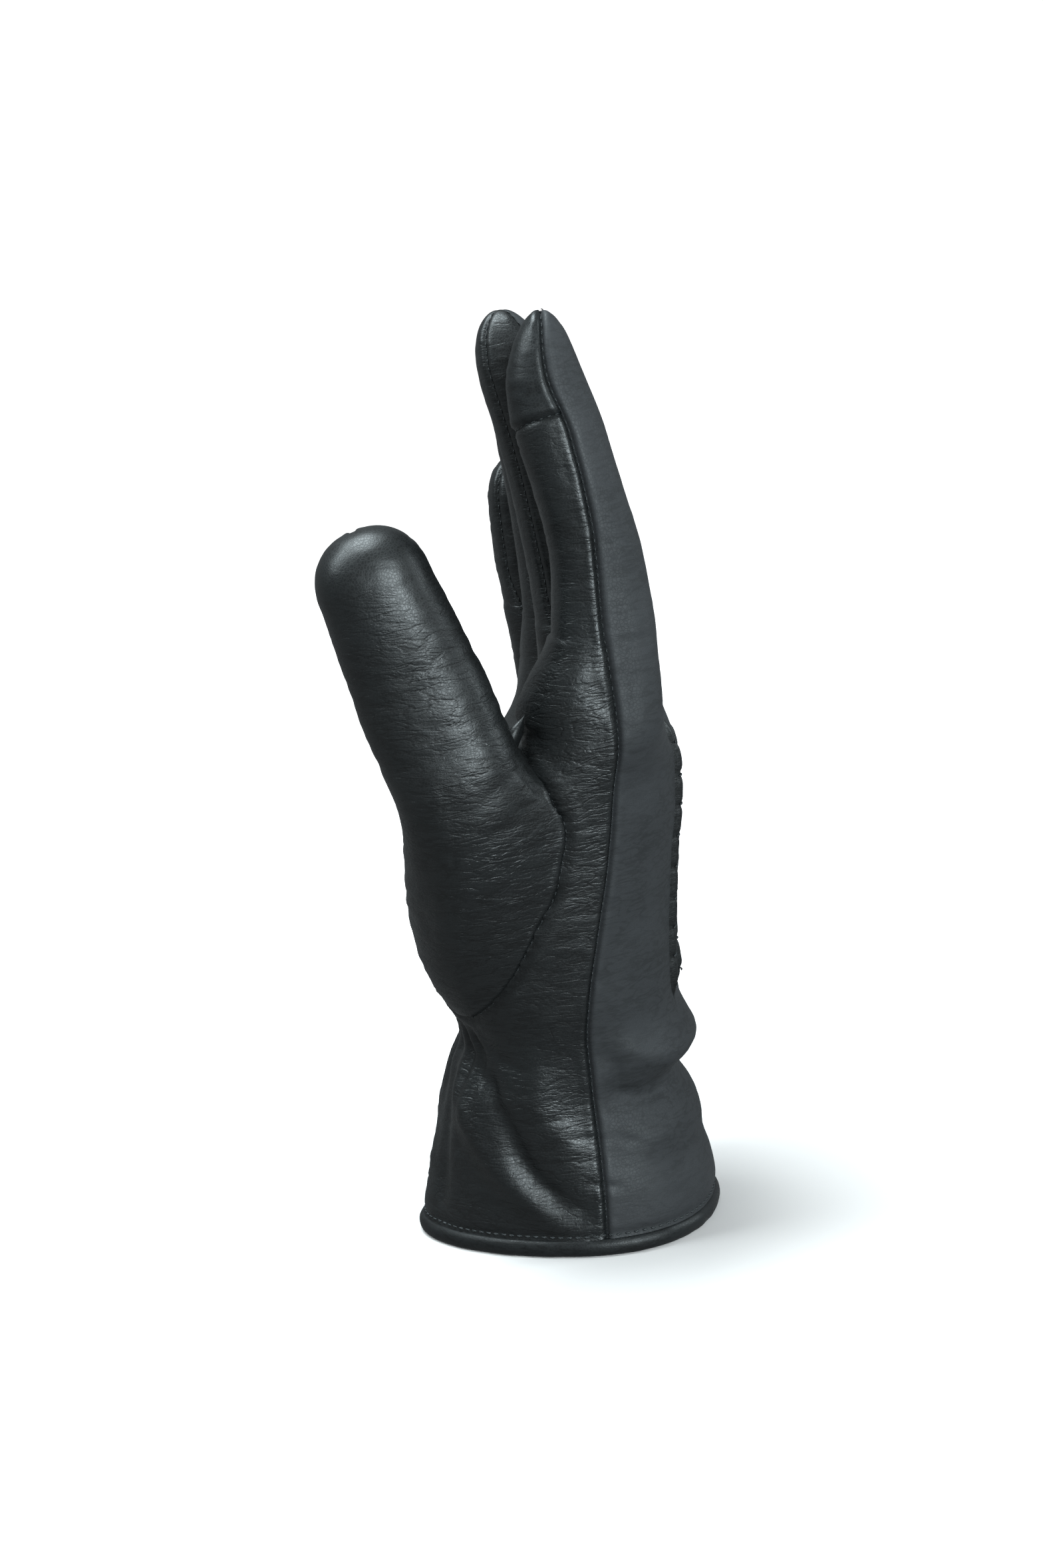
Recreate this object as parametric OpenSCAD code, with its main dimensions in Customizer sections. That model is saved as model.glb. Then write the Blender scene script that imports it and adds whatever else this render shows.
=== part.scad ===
/* [Cuff and hand] */
// Width of the hand across the knuckles, thumb side to little-finger side
hand_w = 92; // [88:1:96]
// Width of the cuff opening, thumb side to little-finger side
cuff_w = 68; // [62:1:74]
// Height of the rolled cuff binding
binding_h = 3; // [2.5:0.5:4]
// How far the cuff binding stands proud of the leather
binding_proud = 0.8; // [0.5:0.1:1.2]
// Height of the top of the hand, where the finger stalls begin
crotch_z = 139; // [137:1:140]

/* [Leather and lining] */
// Thickness of the outer leather
leather_t = 1.0; // [0.8:0.1:1.2]
// Thickness of the knitted lining
lining_t = 1.1; // [0.8:0.1:1.2]
// Boxiness of the cross sections, 2 is an ellipse
roundness = 2.4; // [2:0.1:2.8]

/* [Finger and thumb stalls] */
// Height of the index fingertip
index_top = 229; // [225:1:233]
// Height of the middle fingertip
middle_top = 229; // [225:1:233]
// Height of the ring fingertip
ring_top = 220; // [216:1:224]
// Height of the little fingertip
little_top = 190; // [187:1:193]
// Height of the thumb tip
thumb_top = 185; // [182:1:188]
// Width of a finger stall at its root
stall_w = 22.4; // [21:0.1:22.6]
// Distance between the middle lines of neighbouring fingers
stall_pitch = 23; // [23:0.1:24]
// Length of the domed end of a stall
dome = 9; // [7:0.5:10]

/* [Seams and trim] */
// Distance between stitches of the hem and the side seam
stitch_pitch = 6; // [5:0.5:9]
// Length of one raised tuck on the back of the hand
tuck_len = 74; // [60:1:78]
// How far a raised tuck stands proud of the leather
tuck_proud = 1.8; // [1:0.1:2.5]
// Distance between the big stitches of a tuck
tuck_pitch = 8; // [6:0.5:10]
// Width of the wrist elastic
elastic_w = 6; // [4:0.5:8]

/* [Hidden] */

palm_colour = "#2b2f30";
back_colour = "#3a4043";
lining_colour = "#16181a";
trim_colour = "#202425";
thread_colour = "#101213";

wall = leather_t + lining_t;
gap = 0.3;           // clear distance between pieces that move apart
little_side = 90;    // directions round a cross section: 0 is the back of the hand
palm_side = 180;
thumb_side = 270;
dir_step = 18;       // every stall's walls share this angular grid, so that they meet face to face
fork_edge = 3 * dir_step; // half angle of the back strip between two fourchettes

// Outline of the hand by height: back line, palm line, half width, lean to the little side, thumb-side fullness
hand_back = [[0, 37.6], [16, 37.4], [31, 35.4], [41, 31.4], [50, 35], [62, 33.1], [78, 33.8], [98, 36.4],
    [118, 38.4], [132, 36.5], [146, 34]];
hand_palm = [[0, -37.6], [16, -34.2], [31, -29.5], [41, -26], [50, -23.5], [62, -25], [78, -28], [98, -30],
    [110, -26], [122, -14], [132, -4], [146, 5]];
hand_half = [[0, cuff_w / 2], [41, cuff_w / 2 - 1.5], [62, hand_w * 0.385], [98, hand_w * 0.465],
    [122, hand_w * 0.5], [146, hand_w * 0.504]];
hand_lean = [[50, 0], [98, -0.07], [146, -0.16]];
hand_full = [[41, 0], [78, 0.35], [98, 0.5], [112, 0.5], [132, 0.1], [146, 0]];
seam_x = [[0, 9.5], [53, 8.2], [70, 9.7], [94, 16], [126, 23], [146, 23.4]];

// Stalls: middle line y, top, middle line x by height, half depth by height, half width by height
index_stall = [-1.5 * stall_pitch, index_top, [[139, 21.5], [165, 22.8], [186, 20.4], [213, 15.6]],
    [[139, 13], [165, 11.3], [200, 10], [213, 9]], [[139, stall_w / 2], [180, 10.6], [213, 9]]];
middle_stall = [-0.5 * stall_pitch, middle_top, [[139, 20.2], [165, 18.6], [190, 14.6], [213, 9.8]],
    [[139, 13], [165, 11.9], [200, 10.4], [213, 9.6]], [[139, stall_w / 2], [180, 10.8], [213, 9.3]]];
ring_stall = [0.5 * stall_pitch, ring_top, [[139, 16.4], [165, 15], [190, 11.4], [206, 8.8]],
    [[139, 12.4], [165, 11.3], [190, 10.2], [206, 9.2]], [[139, stall_w / 2], [175, 10.6], [206, 8.9]]];
little_stall = [1.5 * stall_pitch - 0.6, little_top, [[139, 12.4], [150, 11.4], [166, 9], [180, 8]],
    [[139, 11], [150, 10.6], [166, 9.7], [180, 8.6]], [[139, stall_w / 2 - 0.6], [166, 9.4], [180, 8.2]]];
thumb_stall = [-44, thumb_top, [[129, -17], [145, -21.2], [155, -24.2], [165, -27], [174, -29], [185, -28.6]],
    [[129, 15.3], [145, 15.2], [155, 14.8], [165, 14.2], [174, 13.6]],
    [[129, 13], [155, 12.6], [165, 12.2], [174, 11.6]]];

// Heights where a stall's pieces end, below and above its two hinges
root_sleeve = [crotch_z + gap, 159.7];
lower_span = [160, 179.5];
knuckle_sleeve = [179.8, 193.7];
upper_start = 194;
ring_lower_span = [160, 177];
ring_knuckle_sleeve = [177.3, 188.7];
ring_upper_start = 189;
little_root_sleeve_span = [crotch_z + gap, 150.7];
little_lower_span = [151, 161];
little_knuckle_sleeve_span = [161.3, 171.7];
little_upper_start = 172;
thumb_base_top = 129;
thumb_root_sleeve_span = [thumb_base_top + gap, 142.7];
thumb_lower_span = [143, 156];
thumb_knuckle_sleeve_span = [156.3, 165.7];
thumb_upper_start = 166;

function signed_pow(v) = sign(v) * pow(abs(v), 2 / roundness);
function steps(first, last, count) = [for (i = [0:count]) first + (last - first) * i / count];

// A point on the hand's outer surface, moved inwards by off
function hand_pt(z, a, off) = let (
        xb = lookup(z, hand_back), xp = lookup(z, hand_palm), cx = (xb + xp) / 2, rx = (xb - xp) / 2,
        ry = lookup(z, hand_half), y = (ry - off) * signed_pow(sin(a)), c = signed_pow(cos(a)),
        full = c < 0 ? 1 - lookup(z, hand_full) * (0.5 + 0.5 * y / ry) : 1)
    [cx + (rx * full - off) * c + lookup(z, hand_lean) * y, y, z];

// The direction of the side seam at a height
function seam_angle(z) = let (xb = lookup(z, hand_back), xp = lookup(z, hand_palm))
    360 - acos(signed_pow((lookup(z, seam_x) - (xb + xp) / 2) * 2 / (xb - xp)));

// A point on a stall's outer surface, moved inwards by off; the top is a dome
function stall_pt(s, z, a, off) = let (
        rise = min(0.996, max(0, (z - s[1] + dome) / dome)), fall = sqrt(1 - rise * rise),
        cz = min(z, s[1] - dome), rx = (lookup(cz, s[3]) - off) * fall, ry = (lookup(cz, s[4]) - off) * fall)
    [lookup(z, s[2]) + rx * signed_pow(cos(a)), s[0] + ry * signed_pow(sin(a)),
     rise > 0 ? cz + (dome - off) * rise : z];

// The set-in end of the thumb: an oval on the hand, and the ring where the thumb stands free
oval_z = 95.5;
oval_half_h = 31.5;
oval_share = 0.7;
oval_half_share = 0.185;
function boxy(v) = sign(v) * pow(abs(v), 0.45);
function oval_pt(b, off) = let (z = oval_z + oval_half_h * boxy(sin(b)))
    hand_pt(z, palm_dir(z, oval_share - oval_half_share * boxy(cos(b))), off - 0.3);
function thumb_base_pt(w, b, off) = let (
        foot = oval_pt(b, off), head = stall_pt(thumb_stall, thumb_base_top, 360 - b, off),
        swell = 7 * sin(180 * w) * (1 - 0.75 * max(0, sin(b))))
    foot * (1 - w) + head * w + [-0.4, -0.9, 0] * swell;

// A curved wall between grids of outer and inner points; cells in hole = [row, row, column, column] are left out
module wall_of(outer, inner, closed = false, hole = [0, 0, 0, 0]) {
    rows = len(outer);
    cols = len(outer[0]);
    last = closed ? cols : cols - 1;
    size = rows * cols;
    on = function (i, j) i >= 0 && i < rows - 1 && (closed || (j >= 0 && j < last))
        && !(i >= hole[0] && i < hole[1] && j >= hole[2] && j < hole[3]);
    at = function (i, j, side) side * size + i * cols + (j + cols) % cols;
    skin = [for (i = [0:rows - 2], j = [0:last - 1]) if (on(i, j)) each [
        [at(i, j, 0), at(i + 1, j, 0), at(i + 1, j + 1, 0)], [at(i, j, 0), at(i + 1, j + 1, 0), at(i, j + 1, 0)],
        [at(i, j, 1), at(i + 1, j + 1, 1), at(i + 1, j, 1)], [at(i, j, 1), at(i, j + 1, 1), at(i + 1, j + 1, 1)]]];
    rim = function (p, q, r, s) [[at(p, q, 0), at(r, s, 0), at(r, s, 1)], [at(p, q, 0), at(r, s, 1), at(p, q, 1)]];
    rims = [for (i = [0:rows - 2], j = [0:last - 1]) if (on(i, j)) each concat(
        on(i - 1, j) ? [] : rim(i, j, i, j + 1),
        on(i + 1, j) ? [] : rim(i + 1, j + 1, i + 1, j),
        on(i, j - 1) ? [] : rim(i + 1, j, i, j),
        on(i, j + 1) ? [] : rim(i, j + 1, i + 1, j + 1))];
    polyhedron(points = concat([for (r = outer) each r], [for (r = inner) each r]),
        faces = concat(skin, rims), convexity = 8);
}

// A strip or tube of a stall between two directions, from off to off + t under its outer surface
module stall_wall(s, heights, from, to, off, t) {
    closed = to - from >= 360;
    dirs = [for (a = [from:dir_step:closed ? to - dir_step : to]) a];
    wall_of([for (z = heights) [for (a = dirs) stall_pt(s, z, a, off)]],
        [for (z = heights) [for (a = dirs) stall_pt(s, z, a, off + t)]], closed);
}

// Heights of a stall's rings: the whole way up, or through the dome
function span_rows(span) = steps(span[0], span[1], 2);
function tip_rows(start, s) = concat(steps(start, s[1] - dome, 2),
    [for (p = [30, 55, 75, 90]) s[1] - dome + dome * sin(p)]);

module front_strip(s, rows, from, to) color(palm_colour) stall_wall(s, rows, from, to, 0, leather_t);
module back_strip(s, rows, from, to) color(back_colour) stall_wall(s, rows, from, to, 0, leather_t);
module fork_strip(s, rows, middle) color(palm_colour)
    stall_wall(s, rows, middle - 90 + fork_edge, middle + 90 - fork_edge, 0, leather_t);
module stall_lining(s, rows) color(lining_colour) stall_wall(s, rows, 0, 360, leather_t, lining_t);
module sleeve(s, span) color(palm_colour) stall_wall(s, span_rows(span), 0, 360, 0, wall);

// The hand
palm_rows = [binding_h, 16, 31, 41, 50, 62, 80, 96, 112, 129, crotch_z];
back_rows = palm_rows;
palm_share = [0, 0.13, 0.26, 0.38, 0.5, 0.63, 0.77, 0.9, 1];
function palm_dir(z, share) = little_side + (seam_angle(z) - little_side) * share;
function back_dir(z, share) = seam_angle(z) - 360 + (little_side - seam_angle(z) + 360) * share;

module palm_panel() color(palm_colour)
    wall_of([for (z = palm_rows) [for (u = palm_share) hand_pt(z, palm_dir(z, u), 0)]],
        [for (z = palm_rows) [for (u = palm_share) hand_pt(z, palm_dir(z, u), leather_t)]], false, [5, 9, 4, 7]);
module back_panel() color(back_colour)
    wall_of([for (z = back_rows) [for (u = steps(0, 1, 8)) hand_pt(z, back_dir(z, u), 0)]],
        [for (z = back_rows) [for (u = steps(0, 1, 8)) hand_pt(z, back_dir(z, u), leather_t)]]);
module hand_lining() {
    share = concat([for (u = steps(0, 1, 8)) [u, 0]], [for (i = [1:7]) [palm_share[i], 1]]);
    dir = function (z, p) p[1] == 0 ? back_dir(z, p[0]) : palm_dir(z, p[0]);
    color(lining_colour)
    wall_of([for (z = palm_rows) [for (p = share) hand_pt(z, dir(z, p), leather_t)]],
        [for (z = palm_rows) [for (p = share) hand_pt(z, dir(z, p), wall)]], true, [5, 9, 12, 15]);
}

// The set-in thumb's base: leather outside, lining inside
base_steps = [0, 0.2, 0.45, 0.75, 1];
base_dirs = [for (i = [0:15]) i * 22.5];
module base_wall(off, t) wall_of([for (w = base_steps) [for (b = base_dirs) thumb_base_pt(w, b, off)]],
    [for (w = base_steps) [for (b = base_dirs) thumb_base_pt(w, b, off + t)]], true);
module thumb_base_leather() color(palm_colour) base_wall(0, leather_t);
module thumb_base_lining() color(lining_colour) base_wall(leather_t, lining_t);

// Small gusset that fills the fork between the thumb and the hand
module thumb_quirk() color(palm_colour) translate([-4.2, -31, thumb_base_top + gap]) linear_extrude(8)
    polygon([[-0.9, -3], [0.9, -3], [1, 3.5], [-1, 3.5]]);

// The rolled binding round the cuff
module cuff_binding() {
    dirs = [for (i = [0:31]) i * 11.25];
    color(trim_colour)
    wall_of([for (z = [0, 0.8, binding_h - 0.6, binding_h - 0.05])
            [for (a = dirs) hand_pt(z, a, z > 0 && z < binding_h - 0.1 ? -binding_proud : 0.1)]],
        [for (z = [0, 0.8, binding_h - 0.6, binding_h - 0.05]) [for (a = dirs) hand_pt(z, a, wall + 0.3)]], true);
}

// One stitch: a short bar lying on the hand
module stitch_at(z, a, len, across, off) {
    p = hand_pt(z, a, off);
    q = hand_pt(z, a + 2, off) - p;
    translate(p) rotate([0, 0, atan2(q[1], q[0])]) rotate([0, across ? 0 : 90, 0])
        translate([-len / 2, -0.2, -0.2]) cube([len, 0.4, 0.4]);
}
hem_line = binding_h + 2.2;
module hem_stitching() color(thread_colour)
    for (a = [4:360 * stitch_pitch / 230:358]) stitch_at(hem_line, a, 1.8, true, -0.6);
module side_seam_stitching() color(thread_colour)
    for (z = [9:stitch_pitch:crotch_z - 4]) stitch_at(z, seam_angle(z), 1.4, false, -0.8);

// Elastic sewn inside the palm at the wrist
module wrist_elastic() {
    rows = steps(46 - elastic_w / 2, 46 + elastic_w / 2, 1);
    dirs = steps(125, 235, 10);
    color(lining_colour)
    wall_of([for (z = rows) [for (a = dirs) hand_pt(z, a, wall + 1.2)]],
        [for (z = rows) [for (a = dirs) hand_pt(z, a, wall + 2)]]);
}

// Three raised tucks that fan out over the back of the hand
tuck_low = 58;
tuck_dirs = [-30, 0, 30];
tuck_half = 1.3; // half width of a tuck, as an angle
function tuck_dir(d, z) = d * (0.62 + 0.3 * (z - tuck_low) / tuck_len);
module back_tucks() color(back_colour) for (d = tuck_dirs) {
    rows = steps(tuck_low, tuck_low + tuck_len, 8);
    side = function (z, u, off) hand_pt(z, tuck_dir(d, z) + u * tuck_half, off);
    wall_of([for (z = rows) [for (u = [-1, -0.5, 0.5, 1]) side(z, u, abs(u) > 0.6 ? -0.5 : -tuck_proud)]],
        [for (z = rows) [for (u = [-1, -0.5, 0.5, 1]) side(z, u, -0.25)]]);
}
module tuck_stitching() color(thread_colour) for (d = tuck_dirs)
    for (z = [tuck_low + 3:tuck_pitch:tuck_low + tuck_len - 2])
        stitch_at(z, tuck_dir(d, z), 2.2, true, -tuck_proud - 0.6);

// Index finger
index_tip_rows = tip_rows(upper_start, index_stall);
module index_root_sleeve() sleeve(index_stall, root_sleeve);
module index_lower_front() front_strip(index_stall, span_rows(lower_span), 180 - fork_edge, thumb_side);
module index_lower_back() back_strip(index_stall, span_rows(lower_span), -90, fork_edge);
module index_lower_fourchette() fork_strip(index_stall, span_rows(lower_span), little_side);
module index_lower_lining() stall_lining(index_stall, span_rows(lower_span));
module index_knuckle_sleeve() sleeve(index_stall, knuckle_sleeve);
module index_upper_front() front_strip(index_stall, index_tip_rows, 180 - fork_edge, thumb_side);
module index_upper_back() back_strip(index_stall, index_tip_rows, -90, fork_edge);
module index_upper_fourchette() fork_strip(index_stall, index_tip_rows, little_side);
module index_upper_lining() stall_lining(index_stall, index_tip_rows);
module index_tip_patch() color(trim_colour)
    stall_wall(index_stall, [for (i = [1:4]) index_tip_rows[i]], 144, 216, -0.6, 0.4);

// Middle finger
middle_tip_rows = tip_rows(upper_start, middle_stall);
module middle_root_sleeve() sleeve(middle_stall, root_sleeve);
module middle_lower_front() front_strip(middle_stall, span_rows(lower_span), 180 - fork_edge, 180 + fork_edge);
module middle_lower_back() back_strip(middle_stall, span_rows(lower_span), -fork_edge, fork_edge);
module middle_lower_fourchettes()
    for (side = [little_side, thumb_side]) fork_strip(middle_stall, span_rows(lower_span), side);
module middle_lower_lining() stall_lining(middle_stall, span_rows(lower_span));
module middle_knuckle_sleeve() sleeve(middle_stall, knuckle_sleeve);
module middle_upper_front() front_strip(middle_stall, middle_tip_rows, 180 - fork_edge, 180 + fork_edge);
module middle_upper_back() back_strip(middle_stall, middle_tip_rows, -fork_edge, fork_edge);
module middle_upper_fourchettes()
    for (side = [little_side, thumb_side]) fork_strip(middle_stall, middle_tip_rows, side);
module middle_upper_lining() stall_lining(middle_stall, middle_tip_rows);

// Ring finger
ring_tip_rows = tip_rows(ring_upper_start, ring_stall);
module ring_root_sleeve() sleeve(ring_stall, root_sleeve);
module ring_lower_front() front_strip(ring_stall, span_rows(ring_lower_span), 180 - fork_edge, 180 + fork_edge);
module ring_lower_back() back_strip(ring_stall, span_rows(ring_lower_span), -fork_edge, fork_edge);
module ring_lower_fourchettes()
    for (side = [little_side, thumb_side]) fork_strip(ring_stall, span_rows(ring_lower_span), side);
module ring_lower_lining() stall_lining(ring_stall, span_rows(ring_lower_span));
module ring_knuckle_sleeve() sleeve(ring_stall, ring_knuckle_sleeve);
module ring_upper_front() front_strip(ring_stall, ring_tip_rows, 180 - fork_edge, 180 + fork_edge);
module ring_upper_back() back_strip(ring_stall, ring_tip_rows, -fork_edge, fork_edge);
module ring_upper_fourchettes()
    for (side = [little_side, thumb_side]) fork_strip(ring_stall, ring_tip_rows, side);
module ring_upper_lining() stall_lining(ring_stall, ring_tip_rows);

// Little finger
little_tip_rows = tip_rows(little_upper_start, little_stall);
module little_root_sleeve() sleeve(little_stall, little_root_sleeve_span);
module little_lower_front() front_strip(little_stall, span_rows(little_lower_span), little_side, 180 + fork_edge);
module little_lower_back() back_strip(little_stall, span_rows(little_lower_span), -fork_edge, little_side);
module little_lower_fourchette() fork_strip(little_stall, span_rows(little_lower_span), thumb_side);
module little_lower_lining() stall_lining(little_stall, span_rows(little_lower_span));
module little_knuckle_sleeve() sleeve(little_stall, little_knuckle_sleeve_span);
module little_upper_front() front_strip(little_stall, little_tip_rows, little_side, 180 + fork_edge);
module little_upper_back() back_strip(little_stall, little_tip_rows, -fork_edge, little_side);
module little_upper_fourchette() fork_strip(little_stall, little_tip_rows, thumb_side);
module little_upper_lining() stall_lining(little_stall, little_tip_rows);

// Thumb
thumb_tip_rows = tip_rows(thumb_upper_start, thumb_stall);
module thumb_tube(rows) color(palm_colour) stall_wall(thumb_stall, rows, 0, 360, 0, leather_t);
module thumb_root_sleeve() sleeve(thumb_stall, thumb_root_sleeve_span);
module thumb_lower_leather() thumb_tube(span_rows(thumb_lower_span));
module thumb_lower_lining() stall_lining(thumb_stall, span_rows(thumb_lower_span));
module thumb_knuckle_sleeve() sleeve(thumb_stall, thumb_knuckle_sleeve_span);
module thumb_upper_leather() thumb_tube(thumb_tip_rows);
module thumb_upper_lining() stall_lining(thumb_stall, thumb_tip_rows);

palm_panel();
back_panel();
hand_lining();
thumb_base_leather();
thumb_base_lining();
thumb_quirk();
cuff_binding();
hem_stitching();
side_seam_stitching();
wrist_elastic();
back_tucks();
tuck_stitching();
index_root_sleeve();
index_lower_front();
index_lower_back();
index_lower_fourchette();
index_lower_lining();
index_knuckle_sleeve();
index_upper_front();
index_upper_back();
index_upper_fourchette();
index_upper_lining();
index_tip_patch();
middle_root_sleeve();
middle_lower_front();
middle_lower_back();
middle_lower_fourchettes();
middle_lower_lining();
middle_knuckle_sleeve();
middle_upper_front();
middle_upper_back();
middle_upper_fourchettes();
middle_upper_lining();
ring_root_sleeve();
ring_lower_front();
ring_lower_back();
ring_lower_fourchettes();
ring_lower_lining();
ring_knuckle_sleeve();
ring_upper_front();
ring_upper_back();
ring_upper_fourchettes();
ring_upper_lining();
little_root_sleeve();
little_lower_front();
little_lower_back();
little_lower_fourchette();
little_lower_lining();
little_knuckle_sleeve();
little_upper_front();
little_upper_back();
little_upper_fourchette();
little_upper_lining();
thumb_root_sleeve();
thumb_lower_leather();
thumb_lower_lining();
thumb_knuckle_sleeve();
thumb_upper_leather();
thumb_upper_lining();
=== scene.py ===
"""A gentleman's leather dress glove, standing on its cuff, built panel by panel as a glover cuts it."""

from __future__ import annotations

import logging
import sys
from collections.abc import Callable, Sequence
from dataclasses import dataclass, field
from enum import Enum
from math import cos, pi, radians, sin

import bmesh  # noqa: E402
import bpy  # noqa: E402
import numpy as np  # noqa: E402
from mathutils import Matrix, Vector  # noqa: E402


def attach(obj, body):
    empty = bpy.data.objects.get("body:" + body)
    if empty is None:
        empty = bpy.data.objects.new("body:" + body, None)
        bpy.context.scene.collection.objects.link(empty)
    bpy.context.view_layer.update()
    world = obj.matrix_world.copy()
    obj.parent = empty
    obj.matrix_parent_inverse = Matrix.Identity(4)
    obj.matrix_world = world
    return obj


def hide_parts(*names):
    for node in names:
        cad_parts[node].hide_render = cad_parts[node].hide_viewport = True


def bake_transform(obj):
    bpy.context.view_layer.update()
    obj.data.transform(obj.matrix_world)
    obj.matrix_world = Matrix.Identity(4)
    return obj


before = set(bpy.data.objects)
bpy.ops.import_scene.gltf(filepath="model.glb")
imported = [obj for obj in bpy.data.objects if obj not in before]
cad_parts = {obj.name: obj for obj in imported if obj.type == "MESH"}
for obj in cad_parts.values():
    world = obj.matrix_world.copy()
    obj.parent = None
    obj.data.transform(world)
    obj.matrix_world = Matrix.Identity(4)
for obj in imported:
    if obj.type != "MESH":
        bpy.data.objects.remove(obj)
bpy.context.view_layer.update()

log = logging.getLogger("glove")
MM = 0.001
Array = np.ndarray


class Side(Enum):
    """Which face of the glove a strip of leather is cut for."""

    PALM = "palm"
    BACK = "back"


class Digit(Enum):
    """The four fingers, counted from the thumb side."""

    INDEX = 0
    MIDDLE = 1
    RING = 2
    LITTLE = 3


def panel_order(side: Side) -> list[Digit]:
    """Return the fingers in the order of a panel's columns."""
    return list(Digit)[::-1] if side is Side.PALM else list(Digit)


# ---------------------------------------------------------------- small numeric helpers


def smooth(low: float, high: float, value: Array | float) -> Array:
    """Rise smoothly from 0 at low to 1 at high.

    Args:
        low: Where the rise begins.
        high: Where it ends.
        value: The places to work it out at.

    Returns:
        The share risen at each place.
    """
    t = np.clip((np.asarray(value, float) - low) / (high - low), 0.0, 1.0)
    return t * t * (3.0 - 2.0 * t)


def bell(distance: Array, width: float) -> Array:
    """Return a bump that is 1 at distance 0 and fades over the width."""
    return np.exp(-((distance / width) ** 2))


def curve(*knots: tuple[float, float]) -> Callable[[Array | float], Array]:
    """Make a smooth curve through given points.

    Args:
        knots: Pairs of place and value, in rising order of place.

    Returns:
        A function of place; past the ends it keeps the end value.
    """
    x = np.array([k[0] for k in knots], float)
    y = np.array([k[1] for k in knots], float)
    slope = np.gradient(y, x) if len(x) > 2 else np.zeros(len(x))
    slope[0] = slope[-1] = 0.0

    def at(place: Array | float) -> Array:
        """Return the curve's value at each place."""
        p = np.clip(np.asarray(place, float), x[0], x[-1])
        i = np.clip(np.searchsorted(x, p, side="right") - 1, 0, len(x) - 2)
        step = x[i + 1] - x[i]
        t = (p - x[i]) / step
        return (
            (2 * t**3 - 3 * t**2 + 1) * y[i]
            + (t**3 - 2 * t**2 + t) * step * slope[i]
            + (3 * t**2 - 2 * t**3) * y[i + 1]
            + (t**3 - t**2) * step * slope[i + 1]
        )

    return at


def rounded(value: Array, boxiness: float) -> Array:
    """Return the signed power that turns a circle into a rounder-cornered box."""
    return np.sign(value) * np.abs(value) ** (2.0 / boxiness)


def unit(vectors: Array) -> Array:
    """Return the vectors at length 1."""
    return vectors / np.maximum(np.linalg.norm(vectors, axis=-1, keepdims=True), 1e-9)


def grid_normals(points: Array) -> Array:
    """Return the outward normal at each point of a grid whose columns run anticlockwise seen from above."""
    across = np.gradient(points, axis=1)
    along = np.gradient(points, axis=0)
    return unit(np.cross(across, along))


def reach_from(points: Array, column: int) -> Array:
    """Return how far each grid point lies along its row from the first or last column."""
    steps = np.linalg.norm(np.diff(points, axis=1), axis=2)
    total = np.concatenate([np.zeros((len(points), 1)), np.cumsum(steps, axis=1)], axis=1)
    return total if column == 0 else total[:, -1:] - total


def reach_along(line: Array) -> Array:
    """Return how far each of a line's points lies along it."""
    return np.concatenate([[0.0], np.cumsum(np.linalg.norm(np.diff(line, axis=0), axis=1))])


def edge_spaced(count: int) -> Array:
    """Return count shares from 0 to 1 that lie closer together near both ends, where the seams are."""
    t = np.linspace(0.0, 1.0, count)
    return t - 0.72 * np.sin(2 * pi * t) / (2 * pi)


# ---------------------------------------------------------------- shape of the worn glove

# Millimetres, or degrees round the hand and thumb. A thread is its stitch's length and its radius,
# an opening is a share of the set-in thumb's outline, and the studio's radius is in metres.
CROTCH = 144.0
HEM = 2.6
HEM_STITCHES = 5.4
FINGER_EDGE = 25.5
FORK_COLUMNS = 18
LEATHER = 1.0
FOURCHETTE_LEATHER = 0.9
PATCH_LEATHER = 1.05
KNIT = 0.45
LINING_DEPTH = 1.75
BASE_LINING_DEPTH = 1.8
ELASTIC_DEPTH = 4.1
SEAM_PITCH = 2.0
SEAM_THREAD = (1.15, 0.15)
STITCH_LIFT = 0.2
HEM_PITCH = 2.2
HEM_THREAD = (1.5, 0.3)
TUCK_START = 4.0
TUCK_PITCH = 8.0
TUCK_THREAD = (2.3, 0.3)
THUMB_GIRTH = 84.0
THUMB_SEAM_ANGLE = 450.0
PALM_OPENING = 0.93
LINING_OPENING = 0.8
ELASTIC_WAYS = (132, 234)
ELASTIC_HEIGHTS = (43.5, 50.0)
ELASTIC_RIB = 1.1
THUMB_START = -4.0
THUMB_SPLIT = 21.0
STUDIO_RADIUS = 6.0
LIGHT_COLOUR = (0.84, 0.96, 1.0)
SKY_COLOUR = (0.9, 0.97, 1.0, 1.0)
FLOOR_COLOUR = (0.92, 0.87, 0.85, 1.0)
SHELL_COLOUR = (0.9, 0.9, 0.9, 1.0)
WHITE = (1.0, 1.0, 1.0, 1.0)


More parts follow.
